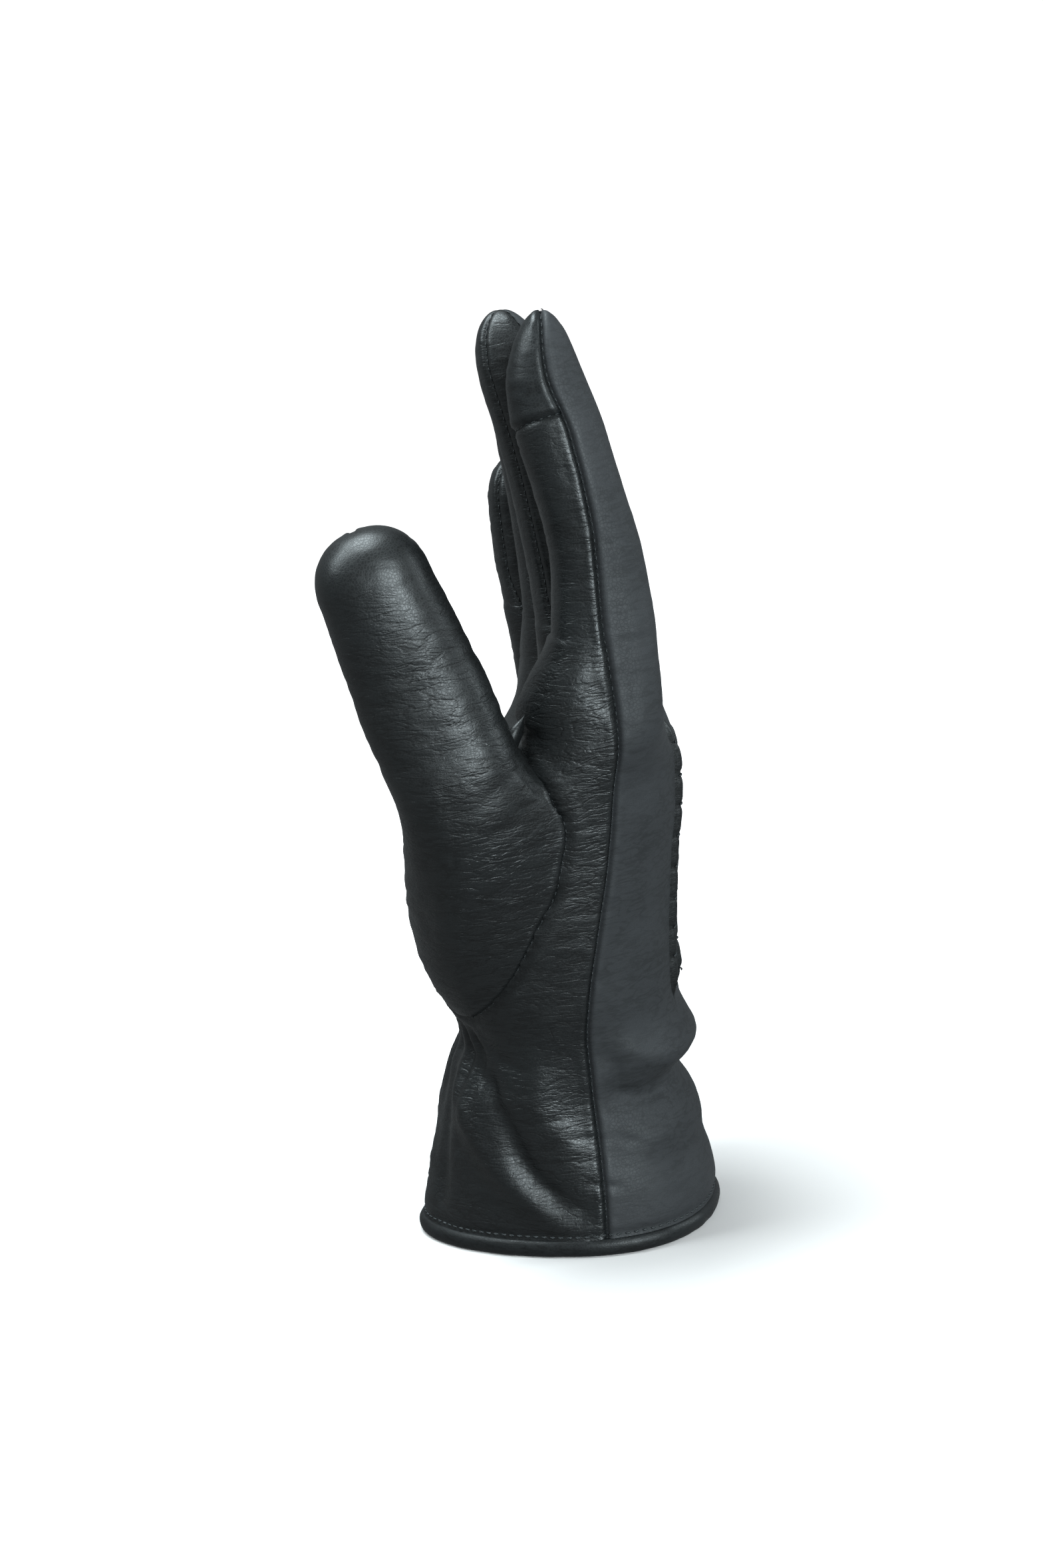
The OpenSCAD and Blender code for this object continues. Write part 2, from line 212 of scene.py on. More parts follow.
@dataclass(frozen=True)
class HandShape:
    """Outer surface of the hand and cuff, by height and direction, in millimetres and degrees."""

    back: Callable = curve(
        (0, 37.6), (10, 38.2), (15, 37.3), (20, 36.0), (25.5, 35.9), (31.5, 34.6), (36, 32.2), (39.8, 31.2),
        (43.2, 34.6), (46.2, 36.6), (50, 35.4), (55, 33.4), (63, 33.1), (78, 33.9), (98, 36.2), (112, 37.6),
        (126, 37.4), (142, 35), (150, 34.6),
    )
    palm: Callable = curve(
        (0, -37.2), (6, -36.6), (15, -34), (25, -30.9), (35, -28.4), (45, -25), (51, -23), (57, -23.8),
        (64, -27), (74, -29.6), (90, -31.4), (106, -31.4), (116, -25), (124, -12), (131, -3.6), (141, -0.6),
        (148, 4.5), (152, 9),
    )
    half: Callable = curve(
        (0, 34), (14, 33.6), (42, 32.2), (52, 33.2), (66, 37), (98, 43), (124, 46), (146, 46.4),
    )
    lean: Callable = curve((50, 0), (98, -0.05), (128, -0.1), (146, -0.16))
    fullness: Callable = curve(
        (42, 0), (64, 0.25), (84, 0.5), (104, 0.58), (118, 0.45), (132, 0.12), (146, 0),
    )
    seam_x: Callable = curve(
        (0, 8.2), (16, 8.9), (30, 9.1), (45, 8.8), (56, 8.9), (65, 10.3), (81, 14), (99, 18.3), (117, 21.3),
        (127, 22.7), (136, 23.3), (150, 23.6),
    )

    def boxiness(self, z: Array) -> Array:
        """Return how square the section is at each height, 2 being an ellipse."""
        return 1.86 + 0.54 * smooth(2, 44, z)

    def skew(self, z: Array) -> Array:
        """Return how far the side seam's corner lies towards the back, near the hem."""
        return 9.5 * (1 - smooth(2, 44, z))

    def seam(self, z: Array) -> Array:
        """Return the direction of the side seam at each height."""
        middle = (self.back(z) + self.palm(z)) / 2 - self.lean(z) * self.half(z) * 0.98 + self.skew(z) * 0.97
        depth = (self.back(z) - self.palm(z)) / 2
        share = np.clip((self.seam_x(z) - middle) / depth, -0.95, 0.95)
        return 360.0 - np.degrees(np.arccos(np.sign(share) * np.abs(share) ** (self.boxiness(z) / 2)))

    def point(self, direction: Array, z: Array) -> Array:
        """Return the surface point at each direction and height.

        Args:
            direction: 0 is the back, 90 the little-finger side, 180 the palm and 270 the thumb side.
            z: Heights above the cuff rim.

        Returns:
            The points, with a last axis of x, y and z.
        """
        a = np.radians(direction)
        y = self.half(z) * rounded(np.sin(a), self.boxiness(z))
        c = rounded(np.cos(a), self.boxiness(z))
        middle = (self.back(z) + self.palm(z)) / 2
        depth = (self.back(z) - self.palm(z)) / 2
        full = np.where(c < 0, 1 - self.fullness(z) * smooth(-0.55, 0.6, y / self.half(z)), 1.0)
        x = middle + depth * full * c + self.lean(z) * y + self.skew(z) * (y / self.half(z)) ** 2
        return np.stack(np.broadcast_arrays(x, y, z), axis=-1)


@dataclass(frozen=True)
class StallShape:
    """Outer surface of one finger stall, upright, with a domed end."""

    digit: Digit
    y: float
    top: float
    dome: float
    taper: float
    middle: Callable
    depth: Callable
    width: Callable
    split: float
    root_bend: tuple[float, float]
    knuckle_bend: tuple[float, float]

    @property
    def length(self) -> float:
        """Return the stall's full length measured up its side and over the dome to the tip."""
        return self.top - self.dome + self.dome * pi / 2

    def fork_half(self, g: Array) -> Array:
        """Return the half angle of the palm or back strip at each place along the stall."""
        return 81.0 - 33.0 * smooth(CROTCH, CROTCH + 18, g)

    def point(self, direction: Array, g: Array) -> Array:
        """Return the surface point at each direction and each length g along the stall."""
        base = self.top - self.dome
        rise = np.clip((g - base) / (self.dome * pi / 2), 0.0, 1.0) * pi / 2
        z = np.where(g > base, base + self.dome * np.sin(rise), g)
        shrink = np.abs(np.cos(rise)) ** self.taper
        boxiness = 3.0 - 0.6 * smooth(CROTCH, CROTCH + 24, g)
        a = np.radians(direction)
        x = self.middle(z) + self.depth(z) * shrink * rounded(np.cos(a), boxiness)
        y = self.y + self.width(z) * shrink * rounded(np.sin(a), boxiness)
        return np.stack(np.broadcast_arrays(x, y, z), axis=-1)


HAND = HandShape()
STALLS = {
    Digit.INDEX: StallShape(
        Digit.INDEX, -34.5, 229.3, 30, 1.08,
        curve(
            (110, 22), (144, 22), (162, 22.7), (174, 22.4), (188, 19.9), (202, 17.1), (215, 15.0),
            (230, 15.5),
        ),
        curve((110, 13.5), (144, 13), (156, 12.2), (170, 11), (186, 10.4), (200, 10.4), (230, 10.2)),
        curve((110, 11.9), (144, 11.5), (170, 10.9), (190, 10.7), (205, 10.4), (230, 10)),
        167.5, (143.5, 163.5), (177.5, 198.5),
    ),
    Digit.MIDDLE: StallShape(
        Digit.MIDDLE, -11.5, 229.2, 20, 0.96,
        curve(
            (110, 20), (144, 20), (162, 18.8), (176, 16.9), (190, 14.7), (204, 11.9), (212, 10), (220, 8.1),
            (230, 6.6),
        ),
        curve((110, 13.5), (144, 13), (160, 12), (176, 11.2), (200, 10.3), (212, 10), (230, 9.8)),
        curve((110, 11.5), (144, 11.5), (170, 11.1), (200, 10.4), (230, 9.8)),
        167.5, (143.5, 163.5), (177.5, 198.5),
    ),
    Digit.RING: StallShape(
        Digit.RING, 11.5, 220.5, 18, 1.0,
        curve((110, 17), (144, 16.8), (162, 16), (176, 14.8), (190, 13.2), (206, 11), (220, 9.2)),
        curve((110, 12.8), (144, 12.4), (160, 11.5), (176, 10.7), (196, 9.9), (211, 9.1)),
        curve((110, 11.5), (144, 11.4), (170, 10.9), (196, 10), (211, 9.1)),
        166.5, (143.5, 163.5), (174.0, 194.0),
    ),
    Digit.LITTLE: StallShape(
        Digit.LITTLE, 34.0, 190.5, 13, 1.0,
        curve((110, 14), (138, 12.6), (150, 11), (164, 8.7), (178, 7.4), (190, 6.9)),
        curve((110, 11.5), (138, 11.2), (150, 10.5), (164, 9.7), (181, 8.5)),
        curve((110, 11.8), (138, 11.4), (150, 10.8), (166, 9.7), (181, 8.5)),
        157.5, (138.5, 154.5), (159.5, 176.5),
    ),
}

INDEX_SEAM = curve(
    (134, 271.5), (152, 270), (166, 268.4), (174, 269.5), (180, 271.8), (187.5, 274.8), (192, 276.4),
    (198, 277.6), (202.5, 278.0), (207, 275.8), (213, 272), (219, 270.5), (229, 270),
)
PATCH_ROW = 206.5
CROTCH_DROP = curve((0, -6.5), (0.8, -5.5), (1.6, -0.6), (2.4, 0), (4, 0))


def real_height(g: Array, column: Array) -> Array:
    """Lower the crotch towards the little finger: turn a nominal height into the real one.

    Args:
        g: Nominal heights.
        column: Place across the hand, 0 at the little-finger side and 4 at the thumb side.

    Returns:
        The real heights.
    """
    window = smooth(112, CROTCH, g) * (1 - smooth(CROTCH, CROTCH + 14, g))
    return g + CROTCH_DROP(column) * window


@dataclass
class Sheet:
    """A sheet of leather before it is given its thickness: points, normals and what the finish reads."""

    points: Array
    normals: Array
    heights: Array
    across: Array
    wrinkle: Array
    wear: Array

    def rows(self, low: float, high: float) -> Sheet:
        """Cut out the rows whose nominal heights lie from low to high."""
        keep = (self.heights[:, 0] >= low - 1e-6) & (self.heights[:, 0] <= high + 1e-6)
        return Sheet(*[getattr(self, n)[keep] for n in self.__dataclass_fields__])

    def coarse(self, step: int) -> Sheet:
        """Keep every step-th row and column, and the last of each."""
        r = sorted({*range(0, self.points.shape[0], step), self.points.shape[0] - 1})
        c = sorted({*range(0, self.points.shape[1], step), self.points.shape[1] - 1})
        return Sheet(*[getattr(self, n)[r][:, c] for n in self.__dataclass_fields__])

    def pushed(self, distance: float) -> Sheet:
        """Move the sheet along its normals."""
        return Sheet(self.points + self.normals * distance, *[
            getattr(self, n) for n in list(self.__dataclass_fields__)[1:]
        ])


def side_by_side(sheets: Sequence[Sheet]) -> Sheet:
    """Join sheets that share their neighbouring columns into one."""
    names = list(Sheet.__dataclass_fields__)
    return Sheet(*[
        np.concatenate([getattr(s, n)[:, (0 if i == 0 else 1):] for i, s in enumerate(sheets)], axis=1)
        for n in names
    ])


def shift(sheet: Sheet, lift: Array) -> Sheet:
    """Move each point of a sheet along its own normal.

    Args:
        sheet: The sheet to shape.
        lift: How far each point goes outward, in millimetres.

    Returns:
        The shaped sheet, with the normals of its new form.
    """
    return Sheet(
        sheet.points + sheet.normals * lift[..., None],
        sheet.normals, sheet.heights, sheet.across, sheet.wrinkle, sheet.wear,
    )


class Noise:
    """Smooth random hills over space, the same at every run."""

    def __init__(self, seed: int) -> None:
        """Fill the lattice of random values."""
        self.table = np.random.default_rng(seed).random((32, 32, 32)) * 2.0 - 1.0

    def at(self, points: Array, scale: tuple[float, float, float]) -> Array:
        """Return the hills' height, from -1 to 1.

        Args:
            points: The places, with a last axis of x, y and z.
            scale: The size of one hill along x, y and z.

        Returns:
            One height for each place.
        """
        p = points / np.array(scale)
        base = np.floor(p).astype(int)
        t = p - base
        t = t * t * (3.0 - 2.0 * t)
        total = np.zeros(points.shape[:-1])
        for dx in (0, 1):
            for dy in (0, 1):
                for dz in (0, 1):
                    share = (
                        np.where(dx, t[..., 0], 1 - t[..., 0])
                        * np.where(dy, t[..., 1], 1 - t[..., 1])
                        * np.where(dz, t[..., 2], 1 - t[..., 2])
                    )
                    corner = self.table[
                        (base[..., 0] + dx) % 32, (base[..., 1] + dy) % 32, (base[..., 2] + dz) % 32
                    ]
                    total = total + share * corner
        return total


BROAD = Noise(11)
FINE = Noise(23)
PUCKER = Noise(37)


def distance_to(points: Array, line: Array) -> Array:
    """Return how far each point lies from the nearest of the line's own points."""
    flat = points.reshape(-1, 3)
    near = np.full(len(flat), 1e6)
    for spot in line:
        near = np.minimum(near, ((flat - spot) ** 2).sum(axis=1))
    return np.sqrt(near).reshape(points.shape[:-1])


def sampled(knots: Sequence[tuple[float, float]], step: float = 0.7) -> Array:
    """Lay a smooth line over the hand through given directions and heights.

    Args:
        knots: Pairs of direction and height.
        step: The gap between the line's points, in millimetres.

    Returns:
        The line's points.
    """
    places = np.array(knots, float)
    corner = HAND.point(places[:, 0], places[:, 1])
    reach = reach_along(corner)
    at = np.linspace(0.0, reach[-1], max(4, int(reach[-1] / step)))
    direction = curve(*zip(reach, places[:, 0]))(at)
    height = curve(*zip(reach, places[:, 1]))(at)
    return HAND.point(direction, height)


@dataclass(frozen=True)
class Fold:
    """A soft fold or crease that runs over the hand."""

    knots: tuple[tuple[float, float], ...]
    height: float
    width: float

    def lift(self, points: Array) -> Array:
        """Return how far the fold raises each point, fading towards the fold's own ends."""
        line = sampled(self.knots)
        near = distance_to(points, line)
        ends = np.minimum(
            np.linalg.norm(points - line[0], axis=-1), np.linalg.norm(points - line[-1], axis=-1)
        )
        return self.height * bell(near, self.width) * (0.35 + 0.65 * smooth(0, 3 * self.width, ends))


@dataclass(frozen=True)
class Mound:
    """A soft round swelling of the leather over the hand inside."""

    direction: float
    z: float
    height: float
    width: float

    def lift(self, points: Array) -> Array:
        """Return how far the swelling raises each point."""
        middle = HAND.point(np.array(self.direction), np.array(self.z))
        return self.height * bell(np.linalg.norm(points - middle, axis=-1), self.width)


PALM_MOUNDS = (
    Mound(222, 135.5, 9.4, 11.5),
    Mound(228, 122, 3.0, 9),
    Mound(160, 138, 1.6, 12),
    Mound(130, 84, 2.2, 20),
)
WRIST_FOLDS = (
    Fold(((200, 45), (215, 36), (224, 29), (233.5, 21), (245, 13), (256, 6)), 1.9, 4.2),
    Fold(((216, 49), (231, 43), (240, 35), (243, 25), (249, 17), (258, 11.5)), -1.9, 2.8),
    Fold(((240, 54), (256, 43), (263, 32), (264, 21)), 1.2, 4.5),
    Fold(((196, 42), (196, 28), (199, 16), (202, 7)), -1.3, 3.0),
    Fold(((201, 58), (196.5, 50)), -1.3, 1.1),
    Fold(((208, 58), (210, 50)), -1.0, 1.0),
    Fold(((215, 57), (222, 50)), -1.4, 1.1),
    Fold(((228, 55), (238, 50), (250, 48)), -0.7, 1.4),
    Fold(((268, 30.5), (279, 29)), -0.55, 0.9),
    Fold(((283, 29), (293, 26.5)), -0.6, 1.0),
    Fold(((265, 18.5), (278, 17)), -0.55, 0.9),
    Fold(((262, 25), (274, 24)), -0.4, 0.8),
    Fold(((258, 35), (270, 36)), -0.4, 1.0),
    Fold(((280, 50), (290, 41), (306, 37), (330, 38)), -1.0, 1.8),
    Fold(((286, 54), (304, 47), (330, 46)), 0.9, 2.4),
    Fold(((284, 30), (300, 27), (322, 30)), 0.7, 3.0),
    Fold(((170, 58), (158, 51), (146, 48), (128, 49)), -1.2, 1.8),
    Fold(((182, 44), (180, 30), (184, 12)), 0.9, 3.2),
    Fold(((160, 42), (156, 28), (160, 12)), 0.9, 3.0),
    Fold(((140, 40), (134, 26), (128, 10)), -0.9, 2.4),
)
PALM_FOLDS = (
    Fold(((196, 132), (180, 126), (160, 123), (138, 124), (118, 130)), -1.1, 2.6),
    Fold(((192, 116), (178, 108), (156, 104), (134, 104)), -0.9, 2.8),
    Fold(((186, 66), (180, 84), (182, 102)), -0.8, 3.4),
    Fold(((292, 137), (300, 128), (304, 116)), -0.5, 2.4),
    Fold(((262, 140), (276, 136), (292, 134)), -0.7, 1.8),
    Fold(((258, 147), (274, 144), (290, 144)), -0.5, 1.6),
)
LEAF_KNOTS = (
    (218, 61), (238, 64.5), (255, 72.5), (266, 84), (272.5, 98), (272.5, 110), (263, 118.5), (243, 123.5),
    (212, 130.5), (194, 124), (185, 108), (186, 88), (197, 69),
)
LEAF_ANGLES = (255, 268, 280, 293, 306, 322, 342, 365, 395, 450, 500, 545, 585)


def closed_curve(values: Sequence[float], turn: float = 0.0) -> Callable[[Array], Array]:
    """Make a smooth loop through evenly placed values.

    Args:
        values: The values at the loop's knots.
        turn: What one whole turn adds to the value.

    Returns:
        A function of the share of the loop, from 0 to 1.
    """
    v = np.array(values, float)
    n = len(v)

    def knot(i: Array) -> Array:
        """Return the value of a knot, past the ends of the loop too."""
        return v[i % n] + turn * (i // n)

    def at(share: Array) -> Array:
        """Return the loop's value at each share."""
        place = np.asarray(share, float) * n
        i = np.floor(place).astype(int)
        t = place - i
        a, b, c, d = knot(i - 1), knot(i), knot(i + 1), knot(i + 2)
        return 0.5 * (
            2 * b + (c - a) * t + (2 * a - 5 * b + 4 * c - d) * t**2 + (3 * b - 3 * c + d - a) * t**3
        )

    return at


def cross_section(outline: Sequence[tuple[float, float]], count: int) -> Array:
    """Round the corners of a strip's cross-section into a smooth closed outline of count points."""
    turn = np.linspace(0, 1, count)
    return np.stack([closed_curve([corner[k] for corner in outline])(turn) for k in range(2)], axis=-1)


LEAF_DIRECTION = closed_curve([k[0] for k in LEAF_KNOTS])
LEAF_HEIGHT = closed_curve([k[1] for k in LEAF_KNOTS])
LEAF_ANGLE = closed_curve(LEAF_ANGLES, 360.0)


@dataclass(frozen=True)
class ThumbShape:
    """Outer surface of the thumb above its base, on a leaning axis, with a domed end."""

    root: tuple[float, float, float] = (-16.9, -44.0, 131.0)
    axis: tuple[float, float, float] = (-0.283, 0.0, 0.959)
    straight: float = 42.3
    dome: float = 13.6
    half: Callable = curve((-6, 15.6), (2, 15.8), (10, 15.8), (25, 14.9), (34, 14.2), (42, 13.6))
    half_y: Callable = curve((-6, 13.2), (4, 12.6), (20, 12.2), (32, 12.4), (42, 12.1))

    @property
    def way(self) -> Array:
        """Return the axis at length 1."""
        return np.array(self.axis) / np.linalg.norm(self.axis)

    @property
    def length(self) -> float:
        """Return the length up the thumb's side and over its dome."""
        return self.straight + self.dome * pi / 2

    def point(self, angle: Array, g: Array) -> Array:
        """Return the surface point at each angle round the thumb and length up it."""
        rise = np.clip((g - self.straight) / (self.dome * pi / 2), 0.0, 1.0) * pi / 2
        h = np.where(g > self.straight, self.straight + self.dome * np.sin(rise), g)
        shrink = np.abs(np.cos(rise)) ** 0.84
        a = np.radians(angle)
        side = self.half(h) * shrink * rounded(np.cos(a), 2.3)
        y = self.half_y(h) * shrink * rounded(np.sin(a), 2.2)
        ax = self.way
        across = np.array((ax[2], 0.0, -ax[0]))
        h, side, y = np.broadcast_arrays(h, side, y)
        return (
            np.array(self.root)
            + h[..., None] * ax
            + side[..., None] * across
            + y[..., None] * np.array((0.0, 1.0, 0.0))
        )


THUMB = ThumbShape()


# ---------------------------------------------------------------- cutting the leather


def look_up(grid: Array, ways: Array, rows: Array, direction: Array, height: Array) -> Array:
    """Read a grid at directions and heights between its own.

    Args:
        grid: Values at each row and column.
        ways: The direction of each row and column.
        rows: The height of each row.
        direction: The directions asked for.
        height: The heights asked for.

    Returns:
        The value at each place asked for.
    """
    found = []
    for way, z in zip(np.ravel(direction), np.ravel(height)):
        r = float(np.interp(z, rows, np.arange(len(rows))))
        i = min(int(r), len(rows) - 2)
        c = float(np.interp(way, ways[i], np.arange(ways.shape[1])))
        j = min(int(c), ways.shape[1] - 2)
        t, s = r - i, c - j
        low = grid[i, j] * (1 - s) + grid[i, j + 1] * s
        high = grid[i + 1, j] * (1 - s) + grid[i + 1, j + 1] * s
        found.append(low * (1 - t) + high * t)
    return np.array(found)


class Cutter:
    """Cuts every strip of the hand and fingers so that neighbours meet exactly along their seams."""

    def __init__(self, hand_rows: int = 168, finger_step: float = 0.85) -> None:
        """Lay out the rows and cut the strips.

        Args:
            hand_rows: How many rows the hand has from hem to finger forks.
            finger_step: The gap between a finger's rows, in millimetres.
        """
        self.low = np.linspace(HEM, CROTCH, hand_rows)
        self.rows: dict[Digit, Array] = {}
        for digit, stall in STALLS.items():
            count = int((stall.length - CROTCH) / finger_step)
            high = np.linspace(CROTCH, stall.length, count)
            near = [stall.split, PATCH_ROW] if digit is Digit.INDEX else [stall.split]
            for spot in near:
                high[np.argmin(np.abs(high - spot))] = spot
            self.rows[digit] = np.concatenate([self.low, high[1:]])
        self.fork_row = hand_rows - 1
        self.cut()

    def columns(self, digit: Digit, side: Side) -> int:
        """Return how many columns a strip has."""
        wide = digit in (Digit.INDEX, Digit.LITTLE)
        if side is Side.PALM:
            return 54 if wide else 30
        return 46 if wide else 30

    def directions(self, digit: Digit, side: Side, g: Array) -> tuple[Array, Array, Array, Array]:
        """Return a strip's first and last direction on the hand and on its stall, at each height."""
        stall = STALLS[digit]
        fork = stall.fork_half(g)
        seam = HAND.seam(g)
        flat = np.zeros_like(g)
        if side is Side.PALM:
            ends = {
                Digit.LITTLE: (flat + 90, flat + 180 - FINGER_EDGE),
                Digit.RING: (flat + 180 - FINGER_EDGE, flat + 180),
                Digit.MIDDLE: (flat + 180, flat + 180 + FINGER_EDGE),
                Digit.INDEX: (flat + 180 + FINGER_EDGE, seam),
            }[digit]
            first = flat + 90 if digit is Digit.LITTLE else 180 - fork
            last = INDEX_SEAM(g) if digit is Digit.INDEX else 180 + fork
            return (*ends, first, last)
        ends = {
            Digit.INDEX: (seam - 360, flat - FINGER_EDGE),
            Digit.MIDDLE: (flat - FINGER_EDGE, flat),
            Digit.RING: (flat, flat + FINGER_EDGE),
            Digit.LITTLE: (flat + FINGER_EDGE, flat + 90),
        }[digit]
        first = INDEX_SEAM(g) - 360 if digit is Digit.INDEX else -fork
        last = flat + 90 if digit is Digit.LITTLE else fork
        return (*ends, first, last)

    def raw(self, digit: Digit, side: Side, g: Array, u: Array) -> Array:
        """Return a strip's points before it is matched to its neighbours."""
        stall = STALLS[digit]
        hand_a, hand_b, stall_a, stall_b = (e[:, None] for e in self.directions(digit, side, g))
        u2 = u[None, :]
        g2 = g[:, None] + 0 * u2
        if digit is Digit.INDEX and side is Side.PALM:
            g2 = g2 - 6.4 * (1 - u2) * bell(g2 - PATCH_ROW, 9.0)
        share = u2 if side is Side.BACK else 1 - u2
        column = 4 - digit.value - share
        z = real_height(g2, column)
        on_hand = HAND.point(hand_a + (hand_b - hand_a) * u2, z)
        on_stall = stall.point(stall_a + (stall_b - stall_a) * u2, g2)
        on_stall[..., 2] += z - g2
        w = smooth(CROTCH - 26, CROTCH + 2, g2)[..., None]
        return on_hand * (1 - w) + on_stall * w

    def cut(self) -> None:
        """Cut all strips, match their edges and work out their normals."""
        points: dict = {}
        for digit in Digit:
            for side in Side:
                u = edge_spaced(self.columns(digit, side))
                points[digit, side] = self.raw(digit, side, self.rows[digit], u)
        for digit in list(Digit)[:-1]:
            other = Digit(digit.value + 1)
            for side in Side:
                mine, theirs = points[digit, side], points[other, side]
                near = 0 if side is Side.PALM else -1
                far = -1 if side is Side.PALM else 0
                n = min(len(mine), len(theirs))
                gap = theirs[:n, far] - mine[:n, near]
                for strip, column, pull in ((mine, near, 0.5), (theirs, far, -0.5)):
                    g = self.rows[digit if strip is mine else other][:n]
                    fade = 1 - smooth(CROTCH, CROTCH + 11, g)
                    u = edge_spaced(strip.shape[1])
                    reach = (1 - u if column == 0 else u) ** 2
                    strip[:n] += pull * (gap * fade[:, None])[:, None, :] * reach[None, :, None]
        forks: dict = {}
        for digit in Digit:
            g = self.rows[digit][self.fork_row:]
            u = np.linspace(0, 1, FORK_COLUMNS)
            half = STALLS[digit].fork_half(g)[:, None]
            for name, wanted in (("little", digit is not Digit.LITTLE), ("thumb", digit is not Digit.INDEX)):
                if not wanted:
                    continue
                if name == "little":
                    direction = half + (180 - 2 * half) * u
                    first = points[digit, Side.BACK][self.fork_row:, -1]
                    last = points[digit, Side.PALM][self.fork_row:, 0]
                else:
                    direction = 180 + half + (180 - 2 * half) * u
                    first = points[digit, Side.PALM][self.fork_row:, -1]
                    last = points[digit, Side.BACK][self.fork_row:, 0]
                strip = STALLS[digit].point(direction, g[:, None] + 0 * u)
                at_first = (first - strip[:, 0])[:, None]
                at_last = (last - strip[:, -1])[:, None]
                ramp = u[None, :, None]
                forks[digit, name] = strip + at_first * (1 - ramp) + at_last * ramp
        for digit in list(Digit)[:-1]:
            mine, theirs = forks[digit, "little"], forks[Digit(digit.value + 1), "thumb"]
            n = min(len(mine), len(theirs))
            gap = theirs[:n, ::-1] - mine[:n]
            fade = 1 - smooth(CROTCH, CROTCH + 7, self.rows[digit][self.fork_row:][:n])
            inner = np.sin(np.linspace(0, pi, FORK_COLUMNS)) ** 0.5
            move = 0.5 * gap * fade[:, None, None] * inner[None, :, None]
            mine[:n] += move
            theirs[:n] -= move[:, ::-1]
        self.points = points
        self.forks = forks
        self.normals = {key: grid_normals(p) for key, p in {**points, **forks}.items()}
        self.match_normals()
        self.palm_ways = self.panel_ways(Side.PALM)
        self.palm_points = np.concatenate([
            points[digit, Side.PALM][: len(self.low), (0 if i == 0 else 1):]
            for i, digit in enumerate(panel_order(Side.PALM))
        ], axis=1)
        share = np.linspace(0.0, 1.0, 280)
        self.leaf_line = self.on_palm(LEAF_DIRECTION(share), LEAF_HEIGHT(share))

    def on_palm(self, direction: Array, height: Array) -> Array:
        """Return points of the palm's leather, before it is shaped by seams and folds."""
        return look_up(self.palm_points, self.palm_ways, self.low, direction, height)

    def panel_ways(self, side: Side) -> Array:
        """Return the direction on the hand of each of a panel's points."""
        parts = []
        for i, digit in enumerate(panel_order(side)):
            a, b, _, _ = self.directions(digit, side, self.low)
            u = edge_spaced(self.columns(digit, side))
            parts.append((a[:, None] + (b - a)[:, None] * u)[:, (0 if i == 0 else 1):])
        return np.concatenate(parts, axis=1)

    def match_normals(self) -> None:
        """Give the two sides of every seam the same normal, and each fingertip one normal."""
        k = self.fork_row

        def weld(a: Array, b: Array) -> None:
            """Share the mean of two columns of normals."""
            mean = unit(a + b)
            a[:] = mean
            b[:] = mean

        n = self.normals
        for digit in list(Digit)[:-1]:
            other = Digit(digit.value + 1)
            weld(n[digit, Side.PALM][: k + 1, 0], n[other, Side.PALM][: k + 1, -1])
            weld(n[digit, Side.BACK][: k + 1, -1], n[other, Side.BACK][: k + 1, 0])
        weld(n[Digit.INDEX, Side.PALM][:, -1], n[Digit.INDEX, Side.BACK][:, 0])
        weld(n[Digit.LITTLE, Side.BACK][:, -1], n[Digit.LITTLE, Side.PALM][:, 0])
        for digit, name in self.forks:
            normals = n[digit, name]
            if name == "little":
                edges = ((0, Side.BACK, -1), (-1, Side.PALM, 0))
            else:
                edges = ((0, Side.PALM, -1), (-1, Side.BACK, 0))
            for mine, side, theirs in edges:
                weld(normals[1:, mine], n[digit, side][k + 1:, theirs])
                normals[0, mine] = n[digit, side][k, theirs]
        for digit in Digit:
            keys = [key for key in n if key[0] is digit]
            top = unit(sum(n[key][-3].mean(axis=0) for key in keys))
            for key in keys:
                n[key][-1] = top

    def strip(self, digit: Digit, side: Side) -> Sheet:
        """Return one palm or back strip, from hem to fingertip, shaped by its seams and folds."""
        points = self.points[digit, side]
        normals = self.normals[digit, side]
        g = self.rows[digit][:, None] + 0 * points[..., 0]
        left, right = reach_from(points, 0), reach_from(points, -1)
        across = left - left[:, left.shape[1] // 2][:, None]
        above = smooth(CROTCH - 1, CROTCH + 6, g)
        tip = STALLS[digit].length
        tip_fade = 1 - 0.75 * smooth(tip - 12, tip - 2, g)
        outer = {
            (Digit.INDEX, Side.PALM): ("all", right), (Digit.INDEX, Side.BACK): ("all", left),
            (Digit.LITTLE, Side.PALM): ("all", left), (Digit.LITTLE, Side.BACK): ("all", right),
        }.get((digit, side))
        lift = np.zeros_like(g)
        wear = np.zeros_like(g)
        for reach in (left, right):
            whole = outer is not None and reach is outer[1]
            amount = 1.0 if whole else above * tip_fade
            groove, rim = seam_shape(reach, points, 1.0 if whole else 0.5)
            lift += groove * amount
            wear = np.maximum(wear, rim * amount)
        if side is Side.PALM:
            a, b, _, _ = self.directions(digit, side, self.rows[digit])
            ways = a[:, None] + (b - a)[:, None] * edge_spaced(points.shape[1])
            lift += leaf_groove(points, ways, g, self.leaf_line)
        if digit is Digit.INDEX and side is Side.PALM:
            step = g - PATCH_ROW
            ridge = 0.3 * bell(step - 1.5, 1.0) * (step > 0)
            lift += -0.65 * bell(step, 0.6) + ridge + 0.2 * smooth(0, 1.6, step)
        lift += hand_relief(points, g, side)
        lift += leather_relief(points, g, side)
        wrinkle = wrinkle_share(points, g, side, digit)
        return shift(Sheet(points, normals, g, across, wrinkle, np.clip(wear, 0, 1)), lift)

